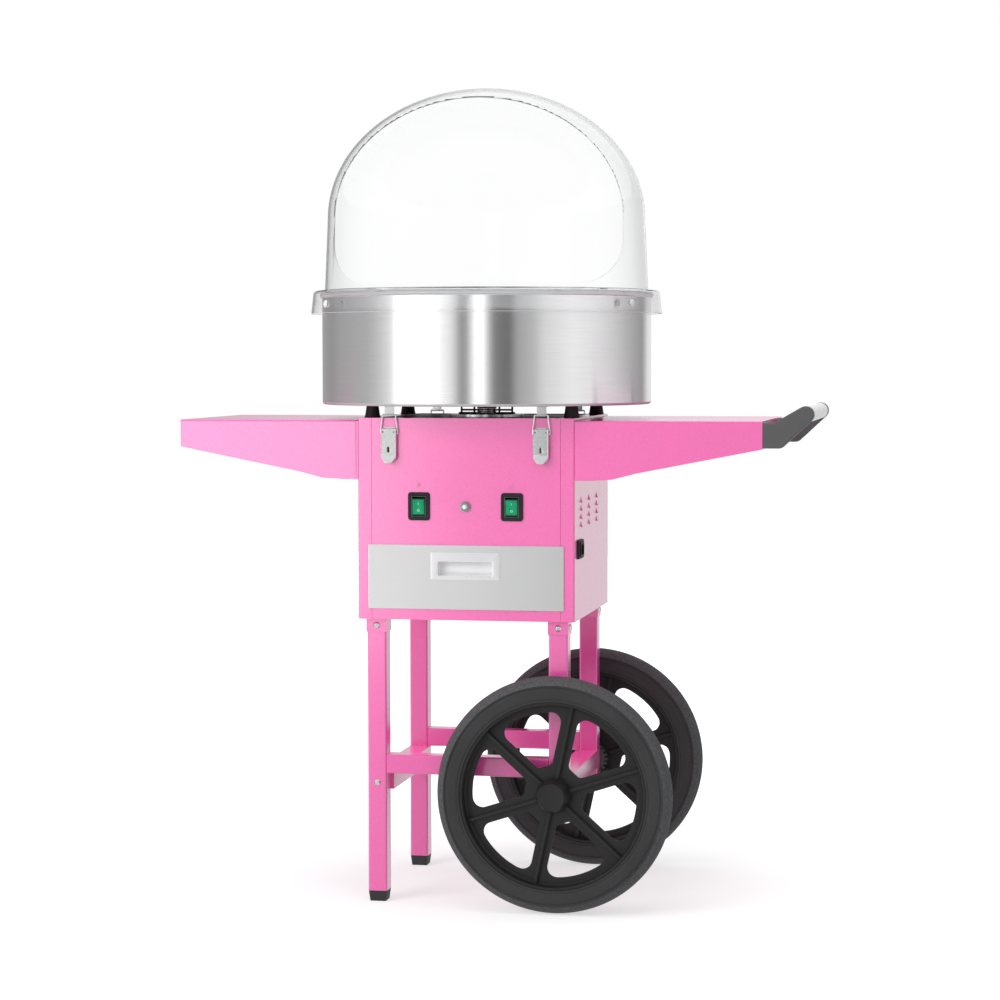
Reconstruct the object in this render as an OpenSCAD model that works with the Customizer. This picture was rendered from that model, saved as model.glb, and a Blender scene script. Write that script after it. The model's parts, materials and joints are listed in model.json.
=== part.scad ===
// Cotton candy cart: a square cabinet with a spinner bowl and dome, two side trays,
// two standing legs and two spoked wheels.
// X runs along the cart towards the push handle, Y from the front to the back, Z up.
// The ground is at Z = 0 and the origin lies under the middle of the overall box.

/* [Cabinet] */
// Width of the cabinet along X
cabinet_w = 342; // [320:1:380]
// Depth of the cabinet along Y
cabinet_d = 342; // [325:1:380]
// Height of the cabinet box
cabinet_h = 314; // [305:1:350]
// Height of the cabinet's underside above the ground
cabinet_z = 447; // [420:1:500]
// Thickness of the sheet steel
sheet = 1.5; // [1:0.1:2]
// Width of the side panels where they wrap onto the front and the back
wrap_w = 21.5; // [18:0.5:26]
// Width of the flange on top of each side panel
top_flange_w = 27; // [25:0.5:34]
// Outside radius of the bent corners
bend_r = 2.5; // [2.2:0.1:4]
// Open seam between two panels
seam = 0.4; // [0.2:0.1:1]
// Depth of the folded edges of the front, back and floor panels
fold_w = 12; // [8:1:16]

/* [Legs and rails] */
// Side of the square tube
tube_size = 30; // [26:1:34]
// Wall of the square tube
tube_wall = 1.5; // [1:0.1:2.5]
// Distance from the cabinet's side to the outer face of a leg
leg_inset_x = 12; // [8:0.5:20]
// Distance from the cabinet's front to the front face of a leg
leg_inset_y = 8.5; // [6:0.5:16]
// Height of the rubber feet under the left legs
foot_h = 16.5; // [12:0.5:24]
// Side of the foot where it meets the leg
foot_top = 29; // [24:0.5:30]
// Side of the foot on the ground
foot_bottom = 25; // [20:0.5:28]
// Height of the lower end of the right legs
short_leg_z = 152; // [135:1:165]
// Height of the sockets that hold the legs
socket_h = 21; // [16:1:30]
// Wall of the sockets
socket_wall = 1.1; // [1:0.1:2]
// Height of the underside of the front and rear rails
rail_z = 203; // [195:1:260]
// Height of the side rails
side_rail_h = 29; // [24:1:34]
// Width of the side rails
side_rail_w = 35; // [31:1:40]
// Radius of the frame's screws
screw_r = 3; // [2:0.25:3.5]
// Radius of the screw heads
screw_head_r = 5.5; // [4:0.25:7]

/* [Wheels] */
// Diameter of the wheels over the tyres
wheel_d = 367; // [340:1:380]
// Width of the tyres
tyre_w = 42; // [34:1:48]
// Height of the tyre's side wall
tyre_wall_h = 38; // [34:1:44]
// Distance from the legs to the middle of each wheel
wheel_gap = 36; // [33:1:44]
// Number of spokes
spokes = 6; // [5:1:8]
// Angle of the first spoke above the X axis
spoke_turn = 18; // [0:1:60]
// Width of each spoke's flat web
spoke_w = 25; // [20:1:28]
// Thickness of the wheel's web
web_t = 6; // [4:0.5:9]
// Width of the rib that stands along each spoke
rib_w = 6; // [4:0.5:9]
// Height of the ribs over the web
rib_h = 6; // [3:0.5:8]
// Distance from the tyre's seat to the windows
rim_band = 17.5; // [11:0.5:20]
// Thickness of the rim's wall under the tyre
rim_wall_t = 5; // [4:0.5:8]
// Radius of the window corners near the rim
window_r = 15; // [8:1:20]
// Radius of the window corners near the hub
window_root_r = 8; // [5:0.5:12]
// Distance from the hub to the windows
hub_band = 20; // [16:0.5:30]
// Radius of the hub
hub_r = 27.5; // [22:0.5:32]
// Radius of the flat end of the hub cap
cap_r = 20.5; // [16:0.5:24]
// Length of the hub cap beyond the web
cap_h = 26; // [20:1:32]
// Radius of the axle
axle_r = 6; // [5:0.5:8]
// Number of teeth on the hub bushes
bush_teeth = 20; // [12:1:28]

/* [Trays and handle] */
// Reach of each tray from the middle of the cabinet
tray_reach = 459; // [400:1:520]
// Distance of the trays' top face below the cabinet's top
tray_step = 3.5; // [2:0.5:10]
// Height of the trays' outer end
tray_end_h = 42.5; // [36:0.5:60]
// Height of the trays at the cabinet
tray_root_h = 92; // [75:1:120]
// Length of the level part of the trays' lower edge
tray_flat = 36; // [20:1:60]
// Diameter of the push handle's grip tube
grip_d = 25; // [22:0.5:28]
// Distance from the tray's end to the grip's axis
grip_reach = 64; // [55:1:80]
// Height of the grip's axis above the trays' top face
grip_lift = 10; // [4:0.5:16]
// Thickness of the handle's moulded arms
arm_t = 22; // [16:1:28]
// Thickness of the arm's cheek outside the grip
arm_cheek = 6; // [3:0.5:8]

/* [Drawer] */
// Distance from the cabinet's sides to the drawer front
drawer_inset = 16.5; // [15:0.5:24]
// Height of the drawer front
drawer_h = 100; // [80:1:110]
// Distance from the cabinet's underside to the drawer front
drawer_z = 17; // [12:1:24]
// Thickness of the drawer front
drawer_t = 2; // [1.5:0.1:3]
// Overlap of the drawer front over its opening
drawer_lap = 8; // [6:0.5:9]
// Depth of the drawer box
drawer_depth = 288; // [200:1:295]
// Wall of the drawer box
drawer_wall = 1.2; // [0.8:0.1:2]
// Width of the cup pull's flange
pull_w = 109.5; // [80:0.5:140]
// Height of the cup pull's flange
pull_h = 43; // [34:0.5:50]
// Depth of the cup pull's pocket
pull_depth = 15; // [10:0.5:20]
// Distance from the top of the drawer front to the middle of the cup pull
pull_drop = 32; // [28:0.5:40]
// Width of the cup pull's flange beside its pocket
pull_side = 11.5; // [8:0.5:16]
// Width of the cup pull's flange below its pocket
pull_foot = 6; // [4:0.5:8]
// Height of the cup pull's flange over its finger opening
pull_brow = 15; // [12:0.5:18]
// Wall of the cup pull's pocket
pull_wall = 1.2; // [0.8:0.1:2]
// Height of the runners' sides above the drawer's floor
runner_side_h = 30; // [20:1:50]
// Width of the runners' ledges
runner_ledge = 16; // [12:1:24]

/* [Controls] */
// Distance of each switch from the cabinet's side
switch_inset = 97.5; // [84:0.5:110]
// Height of the switches above the cabinet's underside
switch_z = 177; // [160:1:190]
// Width of the switch bezels
bezel_w = 34.5; // [28:0.5:40]
// Height of the switch bezels
bezel_h = 43.5; // [36:0.5:48]
// Thickness of the switch bezels
bezel_t = 3.5; // [2.5:0.25:5]
// Depth of the switch housings behind the panel
switch_depth = 24; // [18:1:30]
// Depth of the switches' openings for their rockers
rocker_room = 12; // [11:0.5:16]
// Width of the rockers
rocker_w = 20.5; // [16:0.5:22]
// Height of the rockers
rocker_h = 27; // [22:0.5:30]
// Tilt of a rocker to each side
rocker_tilt = 7; // [4:0.5:10]
// Radius of the reset button's nut
reset_nut_r = 8.6; // [7:0.1:10]
// Radius of the reset button
reset_r = 3.4; // [2.5:0.1:4]
// Travel of the reset button
reset_travel = 2.5; // [1:0.25:4]
// Depth of the reset breaker's case behind the panel
reset_depth = 24; // [18:1:32]
// Width of the mains inlet's flange
inlet_w = 48; // [40:1:56]
// Height of the mains inlet's flange
inlet_h = 29; // [24:1:34]
// Distance of the mains inlet from the middle of the side
inlet_y = -122; // [-130:1:-90]
// Height of the mains inlet above the cabinet's underside
inlet_z = 110; // [90:1:130]
// Depth of the mains inlet's body behind the side
inlet_depth = 24; // [20:1:26]
// Height of the top louvres above the cabinet's underside
louvre_z = 187; // [170:1:200]
// Length of the louvres in the right side
louvre_len = 27; // [20:1:40]
// Height of each louvre's opening
louvre_h = 5.6; // [4.5:0.1:7]
// Distance between louvres along the side
louvre_pitch_y = 77; // [60:1:80]
// Distance between louvres up the side
louvre_pitch_z = 12.7; // [11:0.1:16]

/* [Latches] */
// Distance of the latches from the cabinet's sides
latch_inset = 51; // [46:1:70]
// Width of the latch levers
latch_w = 24; // [20:0.5:28]
// Length of the latch levers below their pivot
latch_len = 53; // [44:1:60]
// Distance from the latch pivots down to the keyhole slots
keyhole_drop = 31; // [26:0.5:36]
// Distance of the latch pivots below the cabinet's top
latch_drop = 18; // [16:0.5:22]
// Distance of the latch pivots in front of the cabinet
latch_out = 5; // [4.5:0.1:6]
// Distance from a latch's pivot to its bail's pivot
bail_arm = 7; // [6:0.25:8]
// Diameter of the bail wire
wire_d = 2.5; // [2:0.1:3]
// Width of the bails at their foot
bail_w = 33; // [30:0.5:38]
// Width of the bails at their head
bail_head_w = 25; // [20:0.5:28]
// Width of the catches under the bowl
catch_w = 15; // [12:0.5:17]

/* [Bowl and dome] */
// Diameter of the bowl
bowl_d = 527; // [500:1:560]
// Height of the bowl
bowl_h = 177; // [140:1:220]
// Thickness of the bowl's sheet
bowl_t = 1.5; // [1:0.1:3]
// Radius of the bowl's bottom edge
bowl_edge_r = 4; // [3:0.5:14]
// Radius of the rolled rim
bead_r = 4; // [3:0.25:5]
// Height of the rubber buffers under the bowl
buffer_h = 19.3; // [17:0.1:28]
// Distance of the buffers from the middle along Y
buffer_y = 124; // [100:1:140]
// Thickness of the dome
dome_t = 3; // [2:0.25:4]
// Height of the dome above the bowl
dome_h = 329; // [280:1:380]
// Height of the dome's upright wall
dome_wall_h = 118; // [90:1:140]
// Draw of the dome's upright wall
dome_draw = 5; // [2:0.5:10]
// Height of the skirt over the bowl's rim
skirt_h = 33; // [26:1:44]
// Radius of the skirt's lower edge over the bowl's radius
skirt_out = 20.5; // [18:0.5:26]
// Turn of the dome about its axis
dome_turn = 4.5; // [-20:0.5:20]
// Width of the serving opening
opening_w = 453; // [400:1:474]
// Height of the opening's sill above the bowl
sill_h = 10; // [6:1:30]
// Radius of the opening's lower corners
sill_corner_r = 66; // [40:1:80]
// Distance from the top of the opening to the top of the dome
brow_h = 28; // [18:1:60]

/* [Spinner] */
// Radius of the spinner head
head_r = 70; // [55:1:90]
// Height of the spinner head's wall
head_h = 34; // [26:1:44]
// Height of the spinner head above the bowl's floor
head_lift = 30; // [24:1:44]
// Number of slots round the head
head_slots = 24; // [12:1:36]
// Radius of the spinner's shaft
shaft_r = 6; // [5:0.5:8]
// Radius of the slip ring drum
drum_r = 15.5; // [12:0.5:18]
// Radius of the sugar mouth in the head's lid
mouth_r = 30; // [22:1:40]
// Height of the head's clamping knob over the wall
knob_h = 16; // [10:1:24]
// Radius of the motor
motor_r = 38; // [30:1:42]
// Length of the motor
motor_h = 92; // [70:1:110]

/* [Fits] */
// Radial clearance of turning parts
running = 0.05; // [0.02:0.01:0.1]
// Gap between a loose part and its seat
seat = 0.3; // [0.2:0.05:0.5]
// Clearance round a part that slides
sliding = 1; // [0.5:0.1:1.6]

/* [Hidden] */
$fn = 64;

pink = [0.98, 0.55, 0.78];
steel = [0.75, 0.75, 0.76];
zinc = [0.82, 0.82, 0.84];
black = [0.1, 0.1, 0.11];
dark_grey = [0.36, 0.36, 0.37];
pale_grey = [0.8, 0.8, 0.81];
green = [0.05, 0.5, 0.3];
clear = [0.9, 0.92, 0.94, 0.35];
white = [0.95, 0.95, 0.95];

// Main planes, measured from the cabinet's middle
side_x = cabinet_w / 2;
face_y = cabinet_d / 2;
cabinet_top = cabinet_z + cabinet_h;
leg_x = side_x - leg_inset_x - tube_size / 2;
leg_y = face_y - leg_inset_y - tube_size / 2;
wheel_r = wheel_d / 2;
wheel_y = leg_y + tube_size / 2 + wheel_gap;
tray_top = cabinet_top - tray_step;
grip_x = tray_reach + grip_reach;
grip_z = tray_top + grip_lift;
arm_end_r = grip_d / 2 + 0.5;
bowl_z = cabinet_top + buffer_h;
bowl_r = bowl_d / 2;
drawer_w = cabinet_w - 2 * drawer_inset;
switch_x = side_x - switch_inset;
latch_x = side_x - latch_inset;

// The origin is under the middle of the overall length
cabinet_x = (tray_reach - grip_x - arm_end_r) / 2;

// A vertex list of [x, y, radius] becomes an outline with round corners
function turn_of(a) = a > 180 ? a - 360 : (a < -180 ? a + 360 : a);
function corner(a, b, c, r, n) =
    let (u = (a - b) / norm(a - b), v = (c - b) / norm(c - b), half = acos(u * v) / 2)
    let (m = b + (u + v) / norm(u + v) * r / sin(half))
    let (p = b + u * r / tan(half) - m, q = b + v * r / tan(half) - m)
    let (start = atan2(p.y, p.x), sweep = turn_of(atan2(q.y, q.x) - start))
    [for (i = [0:n]) m + r * [cos(start + sweep * i / n), sin(start + sweep * i / n)]];
function xy(p) = [p.x, p.y];
function rounded(p, n = 6) =
    let (k = len(p))
    [for (i = [0:k - 1]) each (p[i].z == 0 ? [xy(p[i])]
        : corner(xy(p[(i + k - 1) % k]), xy(p[i]), xy(p[(i + 1) % k]), p[i].z, n))];
function rect(w, h, r) = [[-w / 2, -h / 2, r], [w / 2, -h / 2, r], [w / 2, h / 2, r], [-w / 2, h / 2, r]];

// A block between two corners
module block(a, b) {
    translate(a) cube(b - a);
}

// Places what is drawn about the cabinet's middle
module in_cart() {
    translate([cabinet_x, 0, 0]) children();
}

// Extrudes an XZ outline from one Y plane to another
module across_y(y0, y1) {
    translate([0, y1, 0]) rotate([90, 0, 0]) linear_extrude(y1 - y0) children();
}

// Extrudes a YZ outline from one X plane to another
module across_x(x0, x1) {
    translate([x0, 0, 0]) rotate([90, 0, 90]) linear_extrude(x1 - x0) children();
}

// Mirrors what is drawn for the positive side onto the negative side
module flip_x(side) {
    mirror([side < 0 ? 1 : 0, 0, 0]) children();
}

module flip_y(end) {
    mirror([0, end < 0 ? 1 : 0, 0]) children();
}

// A round bar along Y
module bar_y(r, y0, y1) {
    translate([0, y0, 0]) rotate([-90, 0, 0]) cylinder(r = r, h = y1 - y0);
}

// A round bar along X
module bar_x(r, x0, x1) {
    translate([x0, 0, 0]) rotate([0, 90, 0]) cylinder(r = r, h = x1 - x0);
}

// Screw places: the heads' seats and the directions that they face
socket_screw_z = cabinet_z - socket_h / 2;
rail_screw_z = rail_z - side_rail_h / 2;
socket_r = tube_size / 2 + running + socket_wall;
rail_tab = tube_wall;

module square_tube(len, size, wall) {
    difference() {
        translate([-size / 2, -size / 2, 0]) cube([size, size, len]);
        translate([wall - size / 2, wall - size / 2, -1]) cube([size - 2 * wall, size - 2 * wall, len + 2]);
    }
}

// Bores for the two screws that hold a leg in its socket
module socket_bores(side, end) {
    translate([0, 0, socket_screw_z]) {
        flip_y(end) bar_y(screw_r + running, 0, tube_size);
        flip_x(side) bar_x(screw_r + running, 0, tube_size);
    }
}

// A leg with the bores for its screws. side is -1 at the left, end is -1 at the front
module leg(side, end, bottom) {
    color(pink) in_cart() translate([side * leg_x, end * leg_y, 0]) difference() {
        translate([0, 0, bottom]) square_tube(cabinet_z - bottom, tube_size, tube_wall);
        socket_bores(side, end);
        if (side < 0) translate([0, 0, rail_screw_z]) bar_y(screw_r + running, -tube_size, tube_size);
        if (side > 0) translate([0, 0, wheel_r]) bar_y(axle_r + running, -tube_size, tube_size);
    }
}

// Tapered rubber plugs that stand the left legs on the ground
module rubber_feet() {
    plug = tube_size - 2 * tube_wall - 2 * running;
    color(black) in_cart() for (end = [-1, 1]) translate([-leg_x, end * leg_y, 0]) {
        taper = (foot_top - foot_bottom) / 2;
        intersection() {
            across_x(-foot_top / 2, foot_top / 2) foot_outline(taper);
            across_y(-foot_top / 2, foot_top / 2) foot_outline(taper);
        }
        translate([-plug / 2, -plug / 2, foot_h]) cube([plug, plug, foot_h]);
    }
}

module foot_outline(taper) {
    half = foot_top / 2;
    polygon([[taper - half, 0], [half - taper, 0], [half, foot_h], [-half, foot_h]]);
}

// Square sleeves under the floor pan
module leg_sockets() {
    color(pink) in_cart() for (side = [-1, 1], end = [-1, 1])
        translate([side * leg_x, end * leg_y, 0]) difference() {
            translate([0, 0, cabinet_z - socket_h]) square_tube(socket_h, 2 * socket_r, socket_wall);
            socket_bores(side, end);
        }
}

// A square tube rail between the legs of one frame
module cross_rail(end) {
    inner = leg_x - tube_size / 2;
    color(pink) in_cart() translate([-inner, end * leg_y, rail_z + tube_size / 2]) rotate([0, 90, 0])
        square_tube(2 * inner, tube_size, tube_wall);
}

// A bent channel, open below, with an end tab against each leg
module side_rail(side) {
    outer = leg_x + tube_size / 2;
    inner = outer - side_rail_w;
    reach = leg_y - tube_size / 2;
    low = rail_z - side_rail_h;
    hole_r = side < 0 ? screw_r : axle_r;
    hole_z = side < 0 ? rail_screw_z : wheel_r;
    color(pink) in_cart() flip_x(side) difference() {
        block([inner, -reach, low], [outer, reach, rail_z]);
        block([inner + tube_wall, rail_tab - reach, low - 1],
            [outer - tube_wall, reach - rail_tab, rail_z - tube_wall]);
        translate([leg_x, 0, hole_z]) bar_y(hole_r + running, -reach - 1, reach + 1);
    }
}

// A domed screw head on its shank, pointing along +Z
module screw(len) {
    head_h = screw_head_r * 0.6;
    ball_r = (screw_head_r * screw_head_r + head_h * head_h) / (2 * head_h);
    translate([0, 0, -len]) cylinder(r = screw_r, h = len + head_h / 2);
    difference() {
        intersection() {
            translate([0, 0, head_h - ball_r]) sphere(r = ball_r);
            cylinder(r = screw_head_r, h = head_h);
        }
        translate([0, 0, head_h]) cube([screw_r / 2, screw_head_r * 1.2, head_h], center = true);
        translate([0, 0, head_h]) cube([screw_head_r * 1.2, screw_r / 2, head_h], center = true);
    }
}

// Zinc screws through the sockets, and through the left legs into their side rail
module frame_screws() {
    grip_len = socket_wall + tube_wall + 5;
    through = tube_size + rail_tab + 4;
    color(zinc) in_cart() for (side = [-1, 1], end = [-1, 1]) translate([side * leg_x, end * leg_y, 0]) {
        translate([0, end * socket_r, socket_screw_z]) rotate([-90 * end, 0, 0]) screw(grip_len);
        translate([side * socket_r, 0, socket_screw_z]) rotate([0, 90 * side, 0]) screw(grip_len);
        if (side < 0)
            translate([0, end * tube_size / 2, rail_screw_z]) rotate([-90 * end, 0, 0]) screw(through);
    }
}

// Wheel sizes along the wheel's own axis, measured outwards from the web's middle
seat_r = wheel_r - tyre_wall_h;
rim_half = tyre_w / 2 - 2;
hub_in = wheel_gap - 6;
bush_r = axle_r + 4;
nut_h = 8;
collar_r = bush_r;
washer_t = wheel_gap - hub_in - seat;

// The fixed axle, with a collar against each leg and a nut outside each hub
module wheel_axle() {
    outer = wheel_y + web_t / 2 + rib_h + nut_h + seat;
    leg_face = leg_y + tube_size / 2;
    color(zinc) in_cart() translate([leg_x, 0, wheel_r]) {
        bar_y(axle_r, -outer, outer);
        for (end = [-1, 1]) flip_y(end) {
            bar_y(collar_r, leg_face, leg_face + washer_t);
            bar_y(axle_r + 4, wheel_y + web_t / 2 + rib_h + seat, outer);
        }
    }
}

// Turns a wheel drawn about Z so that its outer side faces away from the legs
module at_wheel(end) {
    in_cart() translate([leg_x, end * wheel_y, wheel_r]) rotate([-90 * end, 0, 0]) children();
}

// One window between two spokes, with round corners
module window() {
    gap_half = 180 / spokes;
    out_r = seat_r - rim_band;
    in_r = hub_r + hub_band;
    a_out = gap_half - asin(spoke_w / 2 / out_r);
    a_in = gap_half - asin(spoke_w / 2 / in_r);
    arc_share = 0.72;
    arc = [for (i = [1:5]) let (a = (i / 3 - 1) * a_out * arc_share) out_r * [cos(a), sin(a)]];
    corners = [
        [in_r * cos(a_in), -in_r * sin(a_in), window_root_r],
        [out_r * cos(a_out), -out_r * sin(a_out), window_r],
        for (p = arc) [p.x, p.y, 0],
        [out_r * cos(a_out), out_r * sin(a_out), window_r],
        [in_r * cos(a_in), in_r * sin(a_in), window_root_r]
    ];
    polygon(rounded(corners, 5));
}

// A moulded wheel: rim band, web with windows, ribs and hub
module wheel_rim(end) {
    color(black) at_wheel(end) difference() {
        union() {
            rotate_extrude() rim_section();
            translate([0, 0, -web_t / 2]) linear_extrude(web_t) difference() {
                circle(r = seat_r - 2);
                circle(r = hub_r - 3);
                for (k = [0:spokes - 1]) rotate(-end * spoke_turn + (k + 0.5) * 360 / spokes) window();
            }
            for (k = [0:spokes - 1]) rotate(-end * spoke_turn + k * 360 / spokes)
                translate([hub_r - 3, -rib_w / 2, -web_t / 2 - rib_h])
                    cube([seat_r - rim_wall_t - hub_r + 4, rib_w, web_t + 2 * rib_h]);
        }
        translate([0, 0, -hub_in - 1]) cylinder(r = bush_r + running, h = 2 * hub_in + 2);
    }
}

// Half section of the rim band and of the hub
module rim_section() {
    band_in = seat_r - rim_wall_t;
    polygon(rounded([
        [band_in, -rim_half + 1.5, 1], [band_in + 1.5, -rim_half, 1], [seat_r, -rim_half, 0],
        [seat_r + 4, -rim_half + 2, 0], [seat_r + 4, rim_half - 2, 0], [seat_r, rim_half, 0],
        [band_in + 1.5, rim_half, 1], [band_in, rim_half - 1.5, 1]
    ], 3));
    polygon([
        [bush_r - 1, -hub_in + 3], [hub_r - 5, -hub_in + 3], [hub_r, -web_t / 2],
        [hub_r, web_t / 2 + rib_h], [bush_r - 1, web_t / 2 + rib_h]
    ]);
}

// A solid rubber tyre with round shoulders, hooked over the rim band
module tyre(end) {
    half = tyre_w / 2;
    color(black) at_wheel(end) rotate_extrude($fn = 120) polygon(rounded([
        [seat_r + 4, -rim_half + 2, 0], [seat_r, -rim_half, 0], [seat_r, -half + 0.5, 0.8],
        [seat_r + 3, -half, 2], [wheel_r - 15, -half, 3], [wheel_r - 5, -half + 5, 6],
        [wheel_r, -half + 14, 10], [wheel_r, half - 14, 10], [wheel_r - 5, half - 5, 6],
        [wheel_r - 15, half, 3], [seat_r + 3, half, 2], [seat_r, half - 0.5, 0.8],
        [seat_r, rim_half, 0], [seat_r + 4, rim_half - 2, 0]
    ], 4));
}

// The hollow cap that closes the hub and hides the axle's nut
module hub_cap(end) {
    base = web_t / 2 + rib_h;
    top = web_t / 2 + cap_h;
    wall = 3;
    color(black) at_wheel(end) rotate_extrude() polygon(rounded([
        [0, top, 0], [0, top - wall, 0], [cap_r - wall - 1, top - wall, 0], [hub_r - wall - 1, base, 0],
        [hub_r - 0.5, base, 0], [cap_r + 2.5, top - 4, 2], [cap_r + 1, top - 1.2, 1], [cap_r, top, 1]
    ], 3));
}

// The ribbed bush that turns on the axle
module hub_bush(end) {
    flange_r = hub_r - 1;
    in_face = -hub_in;
    flange_t = 2.6;
    color(dark_grey) at_wheel(end) difference() {
        union() {
            translate([0, 0, in_face]) cylinder(r = bush_r, h = hub_in + web_t / 2 + rib_h);
            translate([0, 0, in_face]) cylinder(r = hub_r - 6, h = flange_t);
            for (k = [0:bush_teeth - 1]) rotate(k * 360 / bush_teeth)
                translate([hub_r - 8, -1.5, in_face]) cube([flange_r - hub_r + 8, 3, flange_t]);
        }
        translate([0, 0, in_face - 1]) cylinder(r = axle_r + running, h = 3 * hub_in);
    }
}

// The pan that closes the cabinet below, with its edges turned up
module floor_pan() {
    x = side_x - sheet;
    y = face_y - sheet;
    color(pink) in_cart() difference() {
        translate([0, 0, cabinet_z]) linear_extrude(fold_w)
            polygon(rounded(rect(2 * x, 2 * y, bend_r - sheet)));
        block([sheet - x, sheet - y, cabinet_z + sheet], [x - sheet, y - sheet, cabinet_z + fold_w + 1]);
    }
}

// Plan outline of a side panel: a bent channel that opens towards the cabinet's middle
module side_plan() {
    difference() {
        polygon(rounded([
            [-side_x, -face_y, bend_r], [wrap_w - side_x, -face_y, 0],
            [wrap_w - side_x, face_y, 0], [-side_x, face_y, bend_r]
        ], 5));
        polygon(rounded([
            [sheet - side_x, sheet - face_y, bend_r - sheet], [wrap_w + 1 - side_x, sheet - face_y, 0],
            [wrap_w + 1 - side_x, face_y - sheet, 0], [sheet - side_x, face_y - sheet, bend_r - sheet]
        ], 5));
    }
}

module side_panel_blank() {
    difference() {
        translate([0, 0, cabinet_z]) linear_extrude(cabinet_h) side_plan();
        block([sheet - side_x, sheet - face_y, cabinet_top - sheet], [0, face_y - sheet, cabinet_top + 1]);
    }
    block([sheet - side_x, sheet - face_y, cabinet_top - sheet],
        [top_flange_w - side_x, face_y - sheet, cabinet_top]);
}

module left_side_panel() {
    color(pink) in_cart() side_panel_blank();
}

inlet_body_w = inlet_w - 18;
inlet_body_h = inlet_h - 6;
bezel_hole_w = bezel_w - 6;
bezel_hole_h = bezel_h - 6;
reset_thread_r = reset_nut_r - 2.4;
louvre_top_z = cabinet_z + louvre_z;

// Pressed louvres: a slot under a sloping hood
module louvres(slots) {
    hood = 2.8;
    brow = louvre_h * 0.7;
    for (col = [-1:1], row = [0:3])
        translate([side_x, (col - 0.25) * louvre_pitch_y, louvre_top_z - row * louvre_pitch_z]) {
            if (slots) block([-sheet - 1, -louvre_len / 2 + 2, -louvre_h], [1, louvre_len / 2 - 2, 0]);
            if (!slots) translate([-sheet, 0, 0]) across_y(-louvre_len / 2, louvre_len / 2) polygon([
                [0, brow], [sheet, brow], [sheet + hood, -louvre_h],
                [sheet + hood - 1.2, -louvre_h], [0.4, 0]]);
        }
}

module right_side_panel() {
    half_w = inlet_body_w / 2 + seat;
    half_h = inlet_body_h / 2 + seat;
    color(pink) in_cart() {
        difference() {
            flip_x(-1) side_panel_blank();
            louvres(true);
            block([side_x - sheet - 1, inlet_y - half_w, cabinet_z + inlet_z - half_h],
                [side_x + 1, inlet_y + half_w, cabinet_z + inlet_z + half_h]);
        }
        louvres(false);
    }
}

// A flat panel between the wraps, with folded edges
module face_panel() {
    half = side_x - wrap_w - seam;
    difference() {
        union() {
            block([-half, -face_y, cabinet_z], [half, sheet - face_y, cabinet_top]);
            block([top_flange_w + seam - side_x, -face_y, cabinet_top - sheet],
                [side_x - top_flange_w - seam, fold_w - face_y, cabinet_top]);
            for (side = [-1, 1]) flip_x(side)
                block([half - sheet, -face_y, cabinet_z + fold_w],
                    [half, fold_w - face_y, cabinet_top - 2 * sheet]);
        }
    }
}

// Drawer places
opening_half = drawer_w / 2 - drawer_lap;
opening_low = cabinet_z + drawer_z + drawer_lap / 2;
opening_high = cabinet_z + drawer_z + drawer_h - drawer_lap / 2;
box_half = opening_half - 2 * sliding;
box_low = opening_low + sheet + seat;
box_high = opening_high - 4 * sliding;
front_back_y = -face_y - seat;
pull_z = cabinet_z + drawer_z + drawer_h - pull_drop;
pocket_w = pull_w - 2 * pull_side;
pocket_low = pull_z - pull_h / 2 + pull_foot;
pocket_high = pull_z + pull_h / 2 - pull_brow;
pocket_top = pull_z + pull_h / 2 - 4;
pocket_r = 3;

module front_panel() {
    color(pink) in_cart() difference() {
        face_panel();
        block([-opening_half, -face_y - 1, opening_low], [opening_half, fold_w + 1 - face_y, opening_high]);
        for (side = [-1, 1]) translate([side * switch_x, 0, cabinet_z + switch_z])
            block([-bezel_hole_w / 2, -face_y - 1, -bezel_hole_h / 2],
                [bezel_hole_w / 2, 1 - face_y + sheet, bezel_hole_h / 2]);
        translate([0, 0, cabinet_z + switch_z])
            bar_y(reset_thread_r + running, -face_y - 1, -face_y + sheet + 1);
    }
}

module back_panel() {
    color(pink) in_cart() flip_y(-1) face_panel();
}

// The recessed deck that carries the motor
module top_deck() {
    x = side_x - sheet;
    y = face_y - sheet;
    color(black) in_cart() difference() {
        translate([0, 0, cabinet_top - 2 * sheet]) linear_extrude(sheet)
            polygon(rounded(rect(2 * x, 2 * y, bend_r - sheet)));
        translate([0, 0, cabinet_top - 3 * sheet]) cylinder(r = motor_r - 6, h = 4 * sheet);
    }
}

tray_gap = 3.5;

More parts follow.
